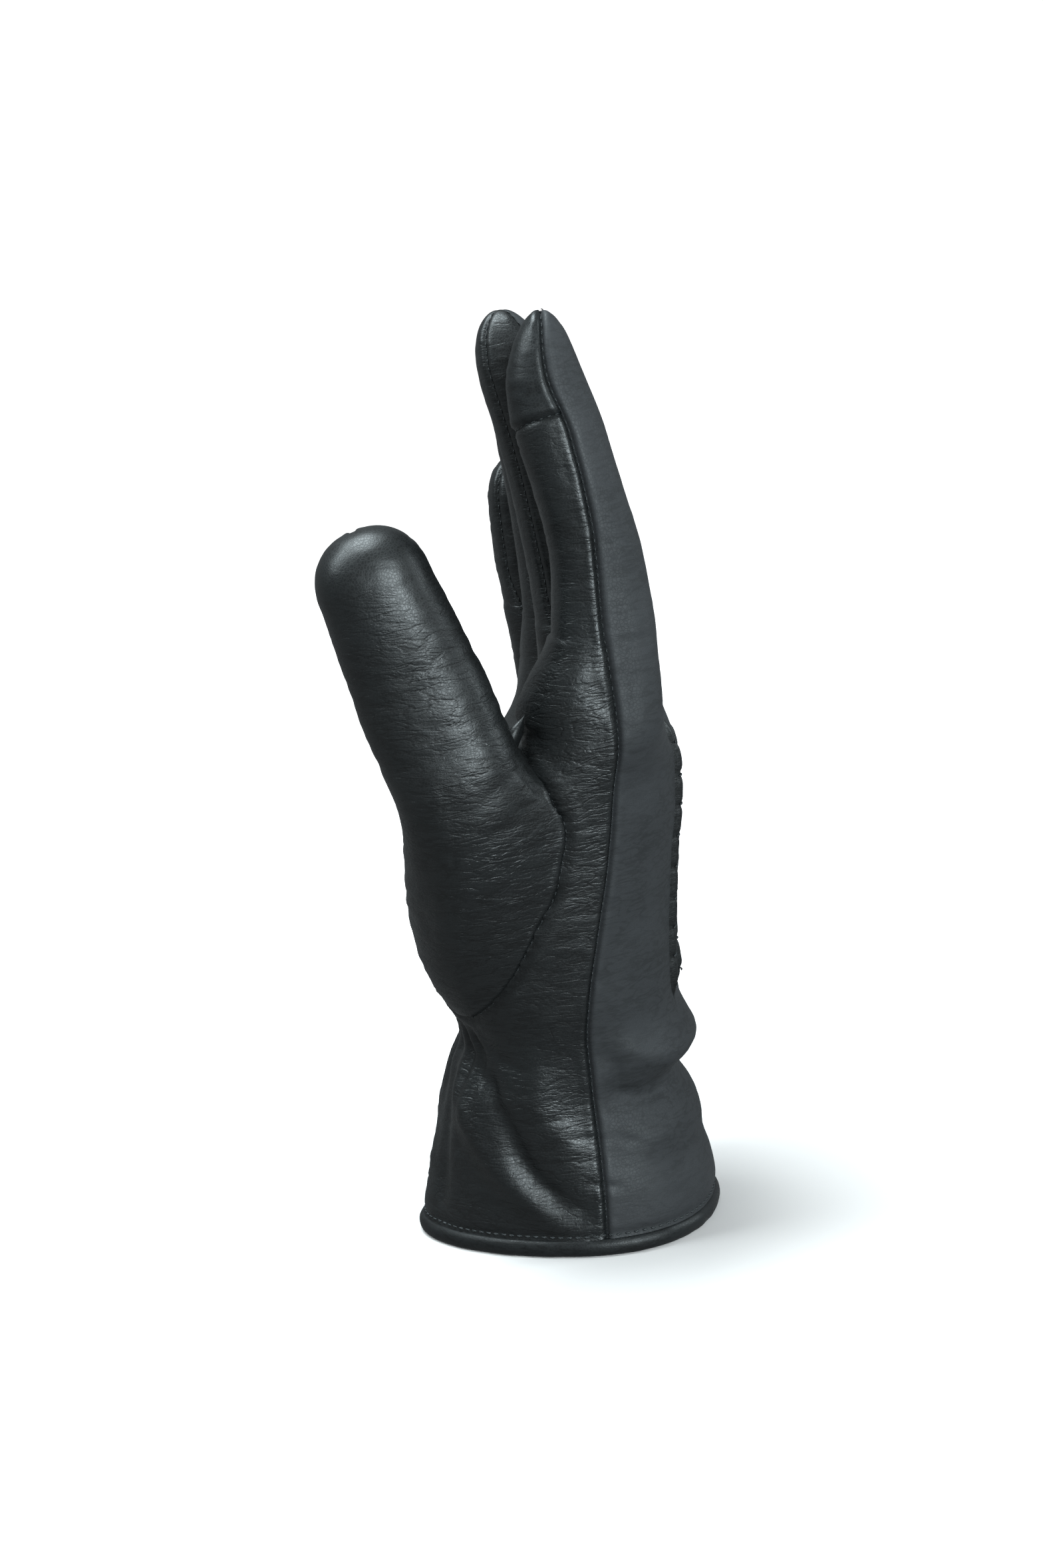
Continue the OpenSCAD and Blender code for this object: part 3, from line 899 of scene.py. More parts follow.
    def fork(self, digit: Digit, name: str) -> Sheet:
        """Return one fourchette, the narrow strip between two fingers."""
        points = self.forks[digit, name]
        normals = self.normals[digit, name]
        g = self.rows[digit][self.fork_row:][:, None] + 0 * points[..., 0]
        left, right = reach_from(points, 0), reach_from(points, -1)
        across = left - left[:, left.shape[1] // 2][:, None]
        tip = STALLS[digit].length
        above = smooth(CROTCH - 1, CROTCH + 6, g) * (1 - 0.75 * smooth(tip - 12, tip - 2, g))
        lift = np.zeros_like(g)
        wear = np.zeros_like(g)
        for reach in (left, right):
            groove, rim = seam_shape(reach, points, 0.5)
            lift += groove * above
            wear = np.maximum(wear, rim * above)
        lift += leather_relief(points, g, Side.PALM)
        return shift(Sheet(points, normals, g, across, 0.3 + 0 * g, wear), lift)


def seam_shape(reach: Array, points: Array, depth: float) -> tuple[Array, Array]:
    """Return the groove of a seam, with its rounded lips, and where the lips catch wear.

    Args:
        reach: Distance from the seam.
        points: The points, for the lips' uneven puckers.
        depth: The groove's depth against the deepest seam.

    Returns:
        The lift in millimetres and the wear from 0 to 1.
    """
    uneven = PUCKER.at(points, (2.6, 2.6, 2.6))
    lip = bell(reach - 1.8, 1.05)
    lift = depth * (-0.95 * bell(reach, 0.62) + (0.17 + 0.14 * uneven) * lip)
    return lift, np.clip(lip * (0.55 + 0.45 * uneven), 0, 1)


def inside_leaf(direction: Array, height: Array, shrink: float) -> Array:
    """Return which places on the hand lie inside the set-in thumb's outline, drawn smaller by a share."""
    share = np.linspace(0.0, 1.0, 160)[:-1]
    outline = np.stack([LEAF_DIRECTION(share), LEAF_HEIGHT(share)], axis=-1)
    middle = outline.mean(axis=0)
    outline = middle + (outline - middle) * shrink
    inside = np.zeros(direction.shape, bool)
    for (x1, y1), (x2, y2) in zip(outline, np.roll(outline, -1, axis=0)):
        crossing = (y1 > height) != (y2 > height)
        inside ^= crossing & (direction < (x2 - x1) * (height - y1) / (y2 - y1 + 1e-12) + x1)
    return inside


def leaf_groove(points: Array, directions: Array, g: Array, line: Array) -> Array:
    """Sink the palm's leather into the seam that goes round the thumb's base."""
    lift = np.zeros_like(g)
    rows = (g[:, 0] > 52) & (g[:, 0] < 138)
    reach = distance_to(points[rows], line)
    inside = inside_leaf(directions[rows], g[rows], 1.0)
    lift[rows] = -0.95 * bell(reach, 0.85) - 2.2 * smooth(0.4, 2.4, reach) * inside
    lift[rows] += np.where(inside, 0.0, 0.2) * bell(reach - 2.0, 1.1)
    return lift


def hand_relief(points: Array, g: Array, side: Side) -> Array:
    """Return the folds, hollows and gathers of the hand and cuff."""
    lift = np.zeros_like(g)
    rows = g[:, 0] < CROTCH + 10
    part = points[rows]
    total = np.zeros(part.shape[:-1])
    folds = WRIST_FOLDS + (PALM_FOLDS if side is Side.PALM else ())
    for fold in folds:
        total += fold.lift(part)
    for mound in PALM_MOUNDS if side is Side.PALM else ():
        total += mound.lift(part)
    height = g[rows]
    y = part[..., 1]
    if side is Side.PALM:
        gather = np.sin(y * 1.25 + 1.9 * np.sin(y * 0.27) + 0.9)
        gather = gather * smooth(-30, -20, y) * (1 - smooth(26, 34, y))
        total += 0.42 * gather * bell(height - 46, 9.0)
    total += -0.45 * bell(height - HEM_STITCHES, 0.9)
    total += 0.5 * BROAD.at(part, (15, 15, 12)) * smooth(10, 26, height)
    lift[rows] = total
    return lift


def leather_relief(points: Array, g: Array, side: Side) -> Array:
    """Return the small creases that cross the fingers and hand where they bend."""
    crease = FINE.at(points, (7.0, 9.0, 2.1))
    crease = 1.0 - np.abs(crease) * 2.2
    creased = np.clip(crease, -0.6, 1.0)
    amount = 0.2 if side is Side.PALM else 0.08
    fade = smooth(6, 12, g)
    return -amount * creased * fade * (0.55 + 0.45 * BROAD.at(points + 7.0, (11, 11, 17)))


def wrinkle_share(points: Array, g: Array, side: Side, digit: Digit) -> Array:
    """Return how strongly the leather's fine wrinkles show at each point."""
    base = 0.62 if side is Side.PALM else 0.26
    share = base + 0.25 * BROAD.at(points, (14, 14, 20))
    if digit is Digit.INDEX and side is Side.PALM:
        share += 0.35 * bell(g - 138, 22)
    tip = STALLS[digit].length
    return np.clip(share * (1 - 0.55 * smooth(tip - 24, tip - 8, g)), 0, 1)


# ---------------------------------------------------------------- the thumb


class ThumbCutter:
    """Cuts the set-in thumb: a base that rises out of the palm and a stall on top of it."""

    def __init__(self, cutter: Cutter, columns: int = 132, base_rows: int = 54, step: float = 0.85) -> None:
        """Lay out the loop round the thumb and its rows.

        Args:
            cutter: The cut hand, which the thumb is set into.
            columns: How many columns go round the thumb.
            base_rows: How many rows the base has from its seam to its top.
            step: The gap between rows above the base, in millimetres.
        """
        self.cutter = cutter
        self.share = np.linspace(0.0, 1.0, columns)
        self.start = THUMB_START
        self.base_rows = base_rows
        count = int((THUMB.length - self.start) / step)
        self.rows = np.linspace(self.start, THUMB.length, count)
        self.split = THUMB_SPLIT
        self.rows[np.argmin(np.abs(self.rows - self.split))] = self.split

    def base(self) -> Sheet:
        """Return the base, lofted from its seam on the hand to the foot of the stall."""
        share = self.share
        direction, height, angle = LEAF_DIRECTION(share), LEAF_HEIGHT(share), LEAF_ANGLE(share)
        palm = self.cutter.on_palm
        rim = palm(direction, height)
        small = 0.9
        east = palm(direction + small, height) - palm(direction - small, height)
        north = palm(direction, height + small) - palm(direction, height - small)
        normal = unit(np.cross(east, north))
        forward = unit(np.roll(rim[:-1], -1, axis=0) - np.roll(rim[:-1], 1, axis=0))
        forward = np.concatenate([forward, forward[:1]])
        inward = unit(np.cross(normal, forward))
        top = THUMB.point(angle, self.start + 0 * angle)
        gap = np.linalg.norm(top - rim, axis=1)[:, None]
        toward = top - rim
        toward = unit(toward - (toward * normal).sum(axis=1, keepdims=True) * normal)
        out = unit(0.85 * toward + 0.3 * inward + 0.4 * normal)
        t = (np.linspace(0, 1, self.base_rows) ** 1.25)[:, None, None]
        h00, h10 = 2 * t**3 - 3 * t**2 + 1, t**3 - 2 * t**2 + t
        h01, h11 = -2 * t**3 + 3 * t**2, t**3 - t**2
        points = h00 * rim + h10 * out * gap * 0.95 + h01 * top + h11 * THUMB.way * gap * 0.95
        reach = t[..., 0] * gap[None, :, 0]
        below = -0.95 * bell(reach, 1.0)
        normals = grid_normals(points)
        mean = unit(normals[:, 0] + normals[:, -1])
        normals[:, 0] = mean
        normals[:, -1] = mean
        _, rim_wear = seam_shape(reach, points, 1.0)
        uneven = PUCKER.at(points, (2.6, 2.6, 2.6))
        lip = (0.24 + 0.18 * uneven) * bell(reach - 2.2, 1.2)
        crease = leather_relief(points, points[..., 2], Side.PALM) * 1.5
        folds = self.base_folds(points)
        along = np.concatenate([
            np.zeros((1, points.shape[1])),
            np.cumsum(np.linalg.norm(np.diff(points, axis=0), axis=2), axis=0),
        ])
        across = share[None, :] * THUMB_GIRTH + 0 * along
        wrinkle = np.clip(0.75 + 0.3 * BROAD.at(points, (9, 9, 12)), 0, 1)
        lift = below + lip + crease + folds
        return shift(Sheet(points, normals, along, across, wrinkle, np.clip(rim_wear, 0, 1)), lift)

    def base_folds(self, points: Array) -> Array:
        """Return the soft folds where the thumb bends away from the hand."""
        lift = np.zeros(points.shape[:-1])
        for knots, height, width in (
            (((-30, -52, 112), (-20, -57, 109), (-8, -55, 112), (2, -48, 118)), -0.35, 2.2),
            (((-30, -50, 104), (-20, -56, 100), (-8, -54, 101), (3, -48, 106)), -0.3, 2.2),
            (((-28, -48, 94), (-18, -53, 91), (-6, -50, 91)), -0.25, 2.4),
            (((-32, -52, 121), (-22, -58, 119), (-10, -57, 121), (0, -50, 127)), -0.35, 2.0),
            (((-26, -46, 84), (-16, -50, 81), (-6, -46, 82)), -0.4, 1.8),
        ):
            corner = np.array(knots, float)
            t = np.linspace(0, len(corner) - 1, 50)
            line = np.stack([curve(*enumerate(corner[:, k]))(t) for k in range(3)], axis=-1)
            lift += height * bell(distance_to(points, line), width)
        return lift

    def stall(self) -> Sheet:
        """Return the stall, from the base's top to the domed tip."""
        angle = LEAF_ANGLE(self.share)
        g = self.rows[:, None]
        points = THUMB.point(angle[None, :], g)
        normals = grid_normals(points)
        mean = unit(normals[:, 0] + normals[:, -1])
        normals[:, 0] = mean
        normals[:, -1] = mean
        normals[-1] = unit(np.array(THUMB.axis))
        heights = g + 0 * points[..., 0]
        across = self.share[None, :] * THUMB_GIRTH + 0 * heights
        off_seam = np.abs(((angle[None, :] - THUMB_SEAM_ANGLE + 180.0) % 360.0) - 180.0)
        seam = off_seam / 360.0 * THUMB_GIRTH
        shrink = np.clip((THUMB.length - heights) / 14.0, 0, 1)
        seam = seam * np.where(shrink < 1, np.sin(shrink * pi / 2), 1.0)
        above = smooth(self.start + 1, self.start + 8, heights)
        groove, rim = seam_shape(seam, points, 0.9)
        lift = groove * above + leather_relief(points, points[..., 2], Side.PALM) * 0.6
        for centre, depth, width in (
            (4.0, -0.35, 1.9), (9.0, -0.2, 1.6), (19.5, -0.25, 1.8), (24.0, -0.15, 1.5),
        ):
            wander = 1.6 * np.sin(np.radians(angle))[None, :] + 0.8 * BROAD.at(points, (9, 9, 9))
            lift += depth * bell(heights - centre - wander, width)
        wrinkle = 0.62 + 0.3 * BROAD.at(points, (10, 10, 14)) - 0.42 * smooth(30, 46, heights)
        return shift(
            Sheet(points, normals, heights, across, np.clip(wrinkle, 0, 1), np.clip(rim * above, 0, 1)), lift
        )


# ---------------------------------------------------------------- making pieces


def clear_selection() -> None:
    """Deselect everything, so that the next primitive stands alone."""
    bpy.ops.object.select_all(action="DESELECT")


def make_current(piece: bpy.types.Object) -> None:
    """Select one piece alone and make it the active one."""
    clear_selection()
    piece.select_set(True)
    bpy.context.view_layer.objects.active = piece


def apply_modifier(piece: bpy.types.Object, kind: str, **settings: object) -> None:
    """Add a modifier with the given settings and apply it at once."""
    make_current(piece)
    modifier = piece.modifiers.new(kind.title(), kind)
    for name, value in settings.items():
        setattr(modifier, name, value)
    bpy.ops.object.modifier_apply(modifier=modifier.name)


def give_attribute(mesh: bpy.types.Mesh, name: str, values: Array) -> None:
    """Store one number for each vertex of a mesh under a name that a finish reads."""
    layer = mesh.attributes.get(name) or mesh.attributes.new(name, "FLOAT", "POINT")
    layer.data.foreach_set("value", np.ascontiguousarray(values, np.float32).ravel())


def sheet_mesh(name: str, sheet: Sheet) -> bpy.types.Object:
    """Turn a sheet into a grid mesh, with its UV map in centimetres and its finish attributes.

    Args:
        name: The piece's name.
        sheet: The sheet, in millimetres.

    Returns:
        The new piece, without thickness.
    """
    rows, columns = sheet.points.shape[:2]
    clear_selection()
    bpy.ops.mesh.primitive_grid_add(x_subdivisions=columns - 1, y_subdivisions=rows - 1, size=1.0)
    piece = bpy.context.active_object
    piece.name = name
    mesh = piece.data
    mesh.name = name
    mesh.vertices.foreach_set("co", (sheet.points * MM).astype(np.float32).ravel())
    corner = np.empty(len(mesh.loops), np.int32)
    mesh.loops.foreach_get("vertex_index", corner)
    uv = np.stack([sheet.across, sheet.heights], axis=-1).reshape(-1, 2)[corner] / 10.0
    layer = mesh.uv_layers.active or mesh.uv_layers.new(name="UVMap")
    layer.data.foreach_set("uv", uv.astype(np.float32).ravel())
    give_attribute(mesh, "wrinkle", sheet.wrinkle)
    give_attribute(mesh, "wear", sheet.wear)
    mesh.update()
    return piece


def weld(piece: bpy.types.Object, reach: float = 0.004) -> None:
    """Merge the points that lie on one another, at closed seams and domed ends."""
    make_current(piece)
    bpy.ops.object.mode_set(mode="EDIT")
    bpy.ops.mesh.select_all(action="SELECT")
    bpy.ops.mesh.remove_doubles(threshold=reach * MM)
    bpy.ops.object.mode_set(mode="OBJECT")


def thicken(piece: bpy.types.Object, thickness: float) -> None:
    """Give a sheet its leather's thickness, inward, with closed edges."""
    apply_modifier(
        piece, "SOLIDIFY", thickness=thickness * MM, offset=-1.0, use_rim=True, use_quality_normals=True,
    )


def smooth_shade(piece: bpy.types.Object, angle: float = 62.0) -> None:
    """Shade a piece smooth, but keep edges sharper than the angle."""
    make_current(piece)
    bpy.ops.object.shade_smooth_by_angle(angle=radians(angle))


def dress(piece: bpy.types.Object, finish: bpy.types.Material) -> None:
    """Give a piece its one finish."""
    piece.data.materials.clear()
    piece.data.materials.append(finish)


def leather_piece(name: str, sheet: Sheet, thickness: float, finish: bpy.types.Material) -> bpy.types.Object:
    """Make one thick, smooth piece of leather or lining from a sheet."""
    piece = sheet_mesh(name, sheet)
    weld(piece)
    thicken(piece, thickness)
    smooth_shade(piece)
    dress(piece, finish)
    return piece


def stitches(
    name: str, places: Sequence[tuple[Array, Array, Array]], finish: bpy.types.Material,
    size: tuple[float, float] = SEAM_THREAD,
) -> bpy.types.Object:
    """Make a run of short threads, each a stretched bead from one primitive.

    Args:
        name: The piece's name.
        places: For each stitch its middle, the way it runs and the way out of the leather.
        finish: The thread's finish.
        size: Length of one stitch and radius of the thread, in millimetres.

    Returns:
        The run as one piece.
    """
    length, radius = size
    clear_selection()
    bpy.ops.mesh.primitive_uv_sphere_add(segments=8, ring_count=6, radius=1.0)
    bead = bpy.context.active_object
    shape = np.empty(len(bead.data.vertices) * 3)
    bead.data.vertices.foreach_get("co", shape)
    shape = shape.reshape(-1, 3)
    faces = [tuple(p.vertices) for p in bead.data.polygons]
    bpy.data.objects.remove(bead)
    body = np.sign(shape[:, 2]) * np.abs(shape[:, 2]) ** 0.6
    points, loops = [], []
    for middle, run, out in places:
        run = unit(np.array(run))
        side = unit(np.cross(run, out))
        up = np.cross(side, run)
        sag = -radius * 0.9 * body**2
        points.append(
            np.array(middle)
            + (body * length / 2)[:, None] * run
            + (shape[:, 0] * radius)[:, None] * side
            + (shape[:, 1] * radius * 0.85 + sag)[:, None] * up
        )
        first = len(points) * len(shape) - len(shape)
        loops.extend(tuple(i + first for i in f) for f in faces)
    mesh = bpy.data.meshes.new(name)
    mesh.from_pydata((np.concatenate(points) * MM).tolist(), [], loops)
    mesh.update()
    piece = bpy.data.objects.new(name, mesh)
    bpy.context.scene.collection.objects.link(piece)
    smooth_shade(piece, 80)
    piece.data.materials.append(finish)
    return piece


def run_along(line: Array, outward: Array, pitch: float = SEAM_PITCH) -> list[tuple[Array, Array, Array]]:
    """Place stitches at an even pitch along a line, a little out of the leather.

    Args:
        line: The line's points.
        outward: The way out of the leather at each of them.
        pitch: The gap from one stitch to the next, in millimetres.

    Returns:
        The middle, run and outward way of each stitch.
    """
    reach = reach_along(line)
    places = []
    for at in np.arange(pitch / 2, reach[-1], pitch):
        middle = np.array([np.interp(at, reach, line[:, k]) for k in range(3)])
        ahead = np.array([np.interp(min(at + 0.6, reach[-1]), reach, line[:, k]) for k in range(3)])
        behind = np.array([np.interp(max(at - 0.6, 0.0), reach, line[:, k]) for k in range(3)])
        out = unit(np.array([np.interp(at, reach, outward[:, k]) for k in range(3)]))
        places.append((middle + out * STITCH_LIFT, ahead - behind, out))
    return places


def ribbon(centre: Array, outward: Array, profile: Array, closed: bool = False) -> Sheet:
    """Sweep a profile along a line, as a sheet.

    Args:
        centre: The line's points.
        outward: The way out of the leather at each of them.
        profile: Pairs of place across the line and height above it.
        closed: Whether the line is a loop.

    Returns:
        The sheet, its columns along the line and its rows across the profile.
    """
    if closed:
        ahead = np.roll(centre[:-1], -1, axis=0)
        behind = np.roll(centre[:-1], 1, axis=0)
        run = unit(ahead - behind)
        run = np.concatenate([run, run[:1]])
    else:
        run = unit(np.gradient(centre, axis=0))
    side = unit(np.cross(outward, run))
    points = (
        centre[None]
        + profile[:, 0][:, None, None] * side[None]
        + profile[:, 1][:, None, None] * outward[None]
    )
    reach = reach_along(centre)
    heights = profile[:, 0][:, None] + 0 * reach[None, :]
    across = reach[None, :] + 0 * heights
    return Sheet(points, grid_normals(points), heights, across, 0.3 + 0 * heights, 0 * heights)


# ---------------------------------------------------------------- finishes


Socket = bpy.types.NodeSocket
Colour = tuple[float, float, float]


class Nodes:
    """A short way to build one material's node tree."""

    def __init__(self, name: str) -> None:
        """Make the material with its one shader."""
        self.material = bpy.data.materials.new(name)
        self.material.use_nodes = True
        self.tree = self.material.node_tree
        self.shader = self.tree.nodes["Principled BSDF"]
        self.where = self.add("ShaderNodeTexCoord").outputs["Object"]

    def add(self, kind: str, **settings: object) -> bpy.types.Node:
        """Add a node and set its properties."""
        node = self.tree.nodes.new(kind)
        for name, value in settings.items():
            setattr(node, name, value)
        return node

    def link(self, source: Socket, target: Socket) -> None:
        """Join an output to an input."""
        self.tree.links.new(source, target)

    def feed(self, value: object, target: Socket) -> None:
        """Join an output to an input, or set the input to a number."""
        if isinstance(value, Socket):
            self.link(value, target)
        else:
            target.default_value = value

    def scaled(self, scale: tuple[float, float, float], turn: tuple[float, float, float]) -> Socket:
        """Return the object's own coordinates, turned and scaled to cells per metre."""
        node = self.add("ShaderNodeMapping")
        node.inputs["Rotation"].default_value = turn
        node.inputs["Scale"].default_value = scale
        self.link(self.where, node.inputs["Vector"])
        return node.outputs["Vector"]

    def noise(
        self, place: Socket, scale: float = 1.0, detail: float = 2.0, bend: float = 0.0
    ) -> Socket:
        """Return soft noise at a place."""
        node = self.add("ShaderNodeTexNoise")
        self.link(place, node.inputs["Vector"])
        node.inputs["Scale"].default_value = scale
        node.inputs["Detail"].default_value = detail
        node.inputs["Distortion"].default_value = bend
        return node.outputs["Fac"]

    def cells(self, place: Socket, scale: float) -> Socket:
        """Return the distance to the edges of small cells."""
        node = self.add("ShaderNodeTexVoronoi", feature="DISTANCE_TO_EDGE")
        self.link(place, node.inputs["Vector"])
        node.inputs["Scale"].default_value = scale
        return node.outputs["Distance"]

    def math(self, kind: str, a: object, b: object = 0.0) -> Socket:
        """Return the result of one sum on two values."""
        node = self.add("ShaderNodeMath", operation=kind)
        self.feed(a, node.inputs[0])
        self.feed(b, node.inputs[1])
        return node.outputs[0]

    def span(self, value: Socket, ends: tuple[float, float], out: tuple[float, float]) -> Socket:
        """Map a value smoothly from one span to another."""
        node = self.add("ShaderNodeMapRange", interpolation_type="SMOOTHSTEP")
        self.link(value, node.inputs["Value"])
        for name, number in zip(("From Min", "From Max", "To Min", "To Max"), (*ends, *out)):
            node.inputs[name].default_value = number
        return node.outputs["Result"]

    def attribute(self, name: str) -> Socket:
        """Return a number stored on the piece's own vertices."""
        return self.add("ShaderNodeAttribute", attribute_name=name).outputs["Fac"]

    def mix(self, share: object, first: object, second: object) -> Socket:
        """Return a blend of two colours."""
        node = self.add("ShaderNodeMix", data_type="RGBA")
        self.feed(share, node.inputs[0])
        for value, socket in ((first, node.inputs[6]), (second, node.inputs[7])):
            self.feed((*value, 1.0) if isinstance(value, tuple) else value, socket)
        return node.outputs[2]

    def bump(self, height: Socket, depth: float, under: Socket | None = None) -> Socket:
        """Return the normal of a relief whose height from 0 to 1 stands for a depth in millimetres."""
        node = self.add("ShaderNodeBump")
        node.inputs["Distance"].default_value = depth * MM
        self.link(height, node.inputs["Height"])
        if under is not None:
            self.link(under, node.inputs["Normal"])
        return node.outputs["Normal"]

    def creases(self, scale: tuple[float, float, float], turn: float, bend: float, sharp: float) -> Socket:
        """Return a field that is 0 along fine wavy creases and 1 between them."""
        place = self.scaled(scale, (0.0, turn, 0.0))
        field_value = self.noise(place, 1.0, 2.0, bend)
        off = self.math("ABSOLUTE", self.math("SUBTRACT", field_value, 0.5))
        return self.span(off, (0.0, sharp), (0.0, 1.0))


@dataclass(frozen=True)
class LeatherFinish:
    """A dyed glove leather, with painted shade in its creases."""

    name: str
    # Painted shade: the darker colour the leather is given down in its creases.
    crease_shade: Colour
    face: Colour
    worn: Colour
    roughness: float = 0.44
    specular: float = 0.42
    sheen: float = 0.05
    grain: float = 0.014
    wrinkle: float = 0.17
    cell: float = 0.75

    def make(self) -> bpy.types.Material:
        """Build the material."""
        n = Nodes(self.name)
        shown = n.attribute("wrinkle")
        lip = n.attribute("wear")
        broad = n.noise(n.where, 42.0, 2.0)
        first = n.creases((110.0, 125.0, 400.0), 0.1, 0.7, 0.085)
        second = n.creases((190.0, 210.0, 640.0), -0.16, 0.9, 0.1)
        third = n.creases((75.0, 85.0, 230.0), 0.24, 1.0, 0.06)
        pair = n.math("ADD", n.math("MULTIPLY", first, 0.45), n.math("MULTIPLY", second, 0.3))
        folded = n.math("ADD", pair, n.math("MULTIPLY", third, 0.25))
        sunk = n.math("MULTIPLY", n.math("SUBTRACT", folded, 1.0), shown)
        pores = n.cells(n.where, 1000.0 / self.cell)
        pebble = n.span(pores, (0.0, 0.22), (0.0, 1.0))
        dust = n.noise(n.where, 3200.0, 2.0)
        grained = n.math("ADD", n.math("MULTIPLY", pebble, 0.7), n.math("MULTIPLY", dust, 0.3))
        soft = n.bump(n.noise(n.where, 150.0, 2.0, 0.3), 0.18)
        relief = n.bump(sunk, self.wrinkle, soft)
        n.link(n.bump(grained, self.grain, relief), n.shader.inputs["Normal"])
        # Painted shade: the leather is coloured darker down in its creases and lighter between them.
        colour = n.mix(n.span(folded, (0.25, 0.95), (0.0, 1.0)), self.crease_shade, self.face)
        cloud = n.mix(n.span(broad, (0.42, 0.72), (0.0, 0.5)), colour, self.worn)
        rubbed = n.math("MULTIPLY", lip, 0.35)
        n.link(n.mix(rubbed, cloud, self.worn), n.shader.inputs["Base Color"])
        varied = n.span(broad, (0.3, 0.7), (self.roughness + 0.05, self.roughness - 0.05))
        between = n.math("MULTIPLY", n.math("SUBTRACT", 1.0, pebble), 0.12)
        polished = n.math("MULTIPLY", lip, -0.07)
        rough = n.math("ADD", n.math("ADD", varied, between), polished)
        n.link(rough, n.shader.inputs["Roughness"])
        n.shader.inputs["Specular IOR Level"].default_value = self.specular
        n.shader.inputs["Sheen Weight"].default_value = self.sheen
        n.shader.inputs["Sheen Roughness"].default_value = 0.45
        return n.material


@dataclass(frozen=True)
class KnitFinish:
    """A fine knitted lining or a ribbed elastic."""

    name: str
    # Painted shade: the colour down between the ribs.
    groove_shade: Colour
    light: Colour
    loops: tuple[float, float, float]
    depth: float

    def make(self) -> bpy.types.Material:
        """Build the material."""
        n = Nodes(self.name)
        ribs = n.add("ShaderNodeTexWave", wave_type="BANDS", bands_direction="DIAGONAL")
        n.link(n.scaled(self.loops, (0.0, 0.0, 0.6)), ribs.inputs["Vector"])
        ribs.inputs["Scale"].default_value = 1.0
        ribs.inputs["Distortion"].default_value = 1.4
        fuzz = n.noise(n.where, 2600.0, 3.0)
        height = n.math("ADD", n.math("MULTIPLY", ribs.outputs["Fac"], 0.7), n.math("MULTIPLY", fuzz, 0.3))
        # The colour follows the ribs' relief: painted shade darkens the valleys between the ribs, and the
        # fuzz adds random tone.
        n.link(n.mix(height, self.groove_shade, self.light), n.shader.inputs["Base Color"])
        n.link(n.bump(height, self.depth), n.shader.inputs["Normal"])
        n.link(n.span(fuzz, (0.3, 0.7), (0.82, 0.95)), n.shader.inputs["Roughness"])
        n.shader.inputs["Sheen Weight"].default_value = 0.35
        n.shader.inputs["Specular IOR Level"].default_value = 0.2
        return n.material


@dataclass(frozen=True)
class ThreadFinish:
    """A twisted, waxed sewing thread."""

    name: str
    # Painted shade: the colour down in the grooves between the plies.
    groove_shade: Colour
    light: Colour

    def make(self) -> bpy.types.Material:
        """Build the material."""
        n = Nodes(self.name)
        ply = n.add("ShaderNodeTexWave", wave_type="BANDS", bands_direction="DIAGONAL")
        n.link(n.scaled((900.0, 900.0, 900.0), (0.3, 0.2, 0.4)), ply.inputs["Vector"])
        ply.inputs["Scale"].default_value = 1.0
        ply.inputs["Distortion"].default_value = 0.8
        fuzz = n.noise(n.where, 6000.0, 2.0)
        # Painted shade: the thread is coloured darker down in the grooves between its plies, following the
        # same bands as its bump.
        n.link(n.mix(ply.outputs["Fac"], self.groove_shade, self.light), n.shader.inputs["Base Color"])
        n.link(n.bump(ply.outputs["Fac"], 0.05), n.shader.inputs["Normal"])
        n.link(n.span(fuzz, (0.3, 0.7), (0.42, 0.6)), n.shader.inputs["Roughness"])
        n.shader.inputs["Specular IOR Level"].default_value = 0.45
        return n.material


@dataclass
class Finishes:
    """Every finish of the glove, made once."""

    palm: bpy.types.Material = field(init=False)
    back: bpy.types.Material = field(init=False)
    trim: bpy.types.Material = field(init=False)
    lining: bpy.types.Material = field(init=False)
    thread: bpy.types.Material = field(init=False)
    elastic: bpy.types.Material = field(init=False)

    def __post_init__(self) -> None:
        """Make the materials."""
        self.palm = LeatherFinish(
            "palm_leather", (0.003, 0.0034, 0.0036), (0.0068, 0.0077, 0.0081), (0.012, 0.0138, 0.0145),
            roughness=0.38, specular=0.55, sheen=0.0,
        ).make()
        self.back = LeatherFinish(
            "back_leather", (0.0168, 0.0178, 0.0192), (0.025, 0.0262, 0.0284), (0.0355, 0.0372, 0.0402),
            roughness=0.6, specular=0.42, sheen=0.01, grain=0.012, wrinkle=0.06, cell=0.85,
        ).make()
        self.trim = LeatherFinish(
            "trim_leather", (0.004, 0.0046, 0.0048), (0.0085, 0.0096, 0.0102), (0.016, 0.018, 0.019),
            roughness=0.4, wrinkle=0.05, sheen=0.0,
        ).make()
        self.lining = KnitFinish(
            "knit_lining", (0.012, 0.012, 0.013), (0.035, 0.035, 0.037), (1500.0, 1500.0, 700.0), 0.12,
        ).make()
        self.thread = ThreadFinish("sewing_thread", (0.012, 0.013, 0.014), (0.045, 0.05, 0.052)).make()
        self.elastic = KnitFinish(
            "ribbed_elastic", (0.02, 0.02, 0.022), (0.06, 0.06, 0.064), (300.0, 300.0, 2200.0), 0.2,
        ).make()


# ---------------------------------------------------------------- the glove's parts


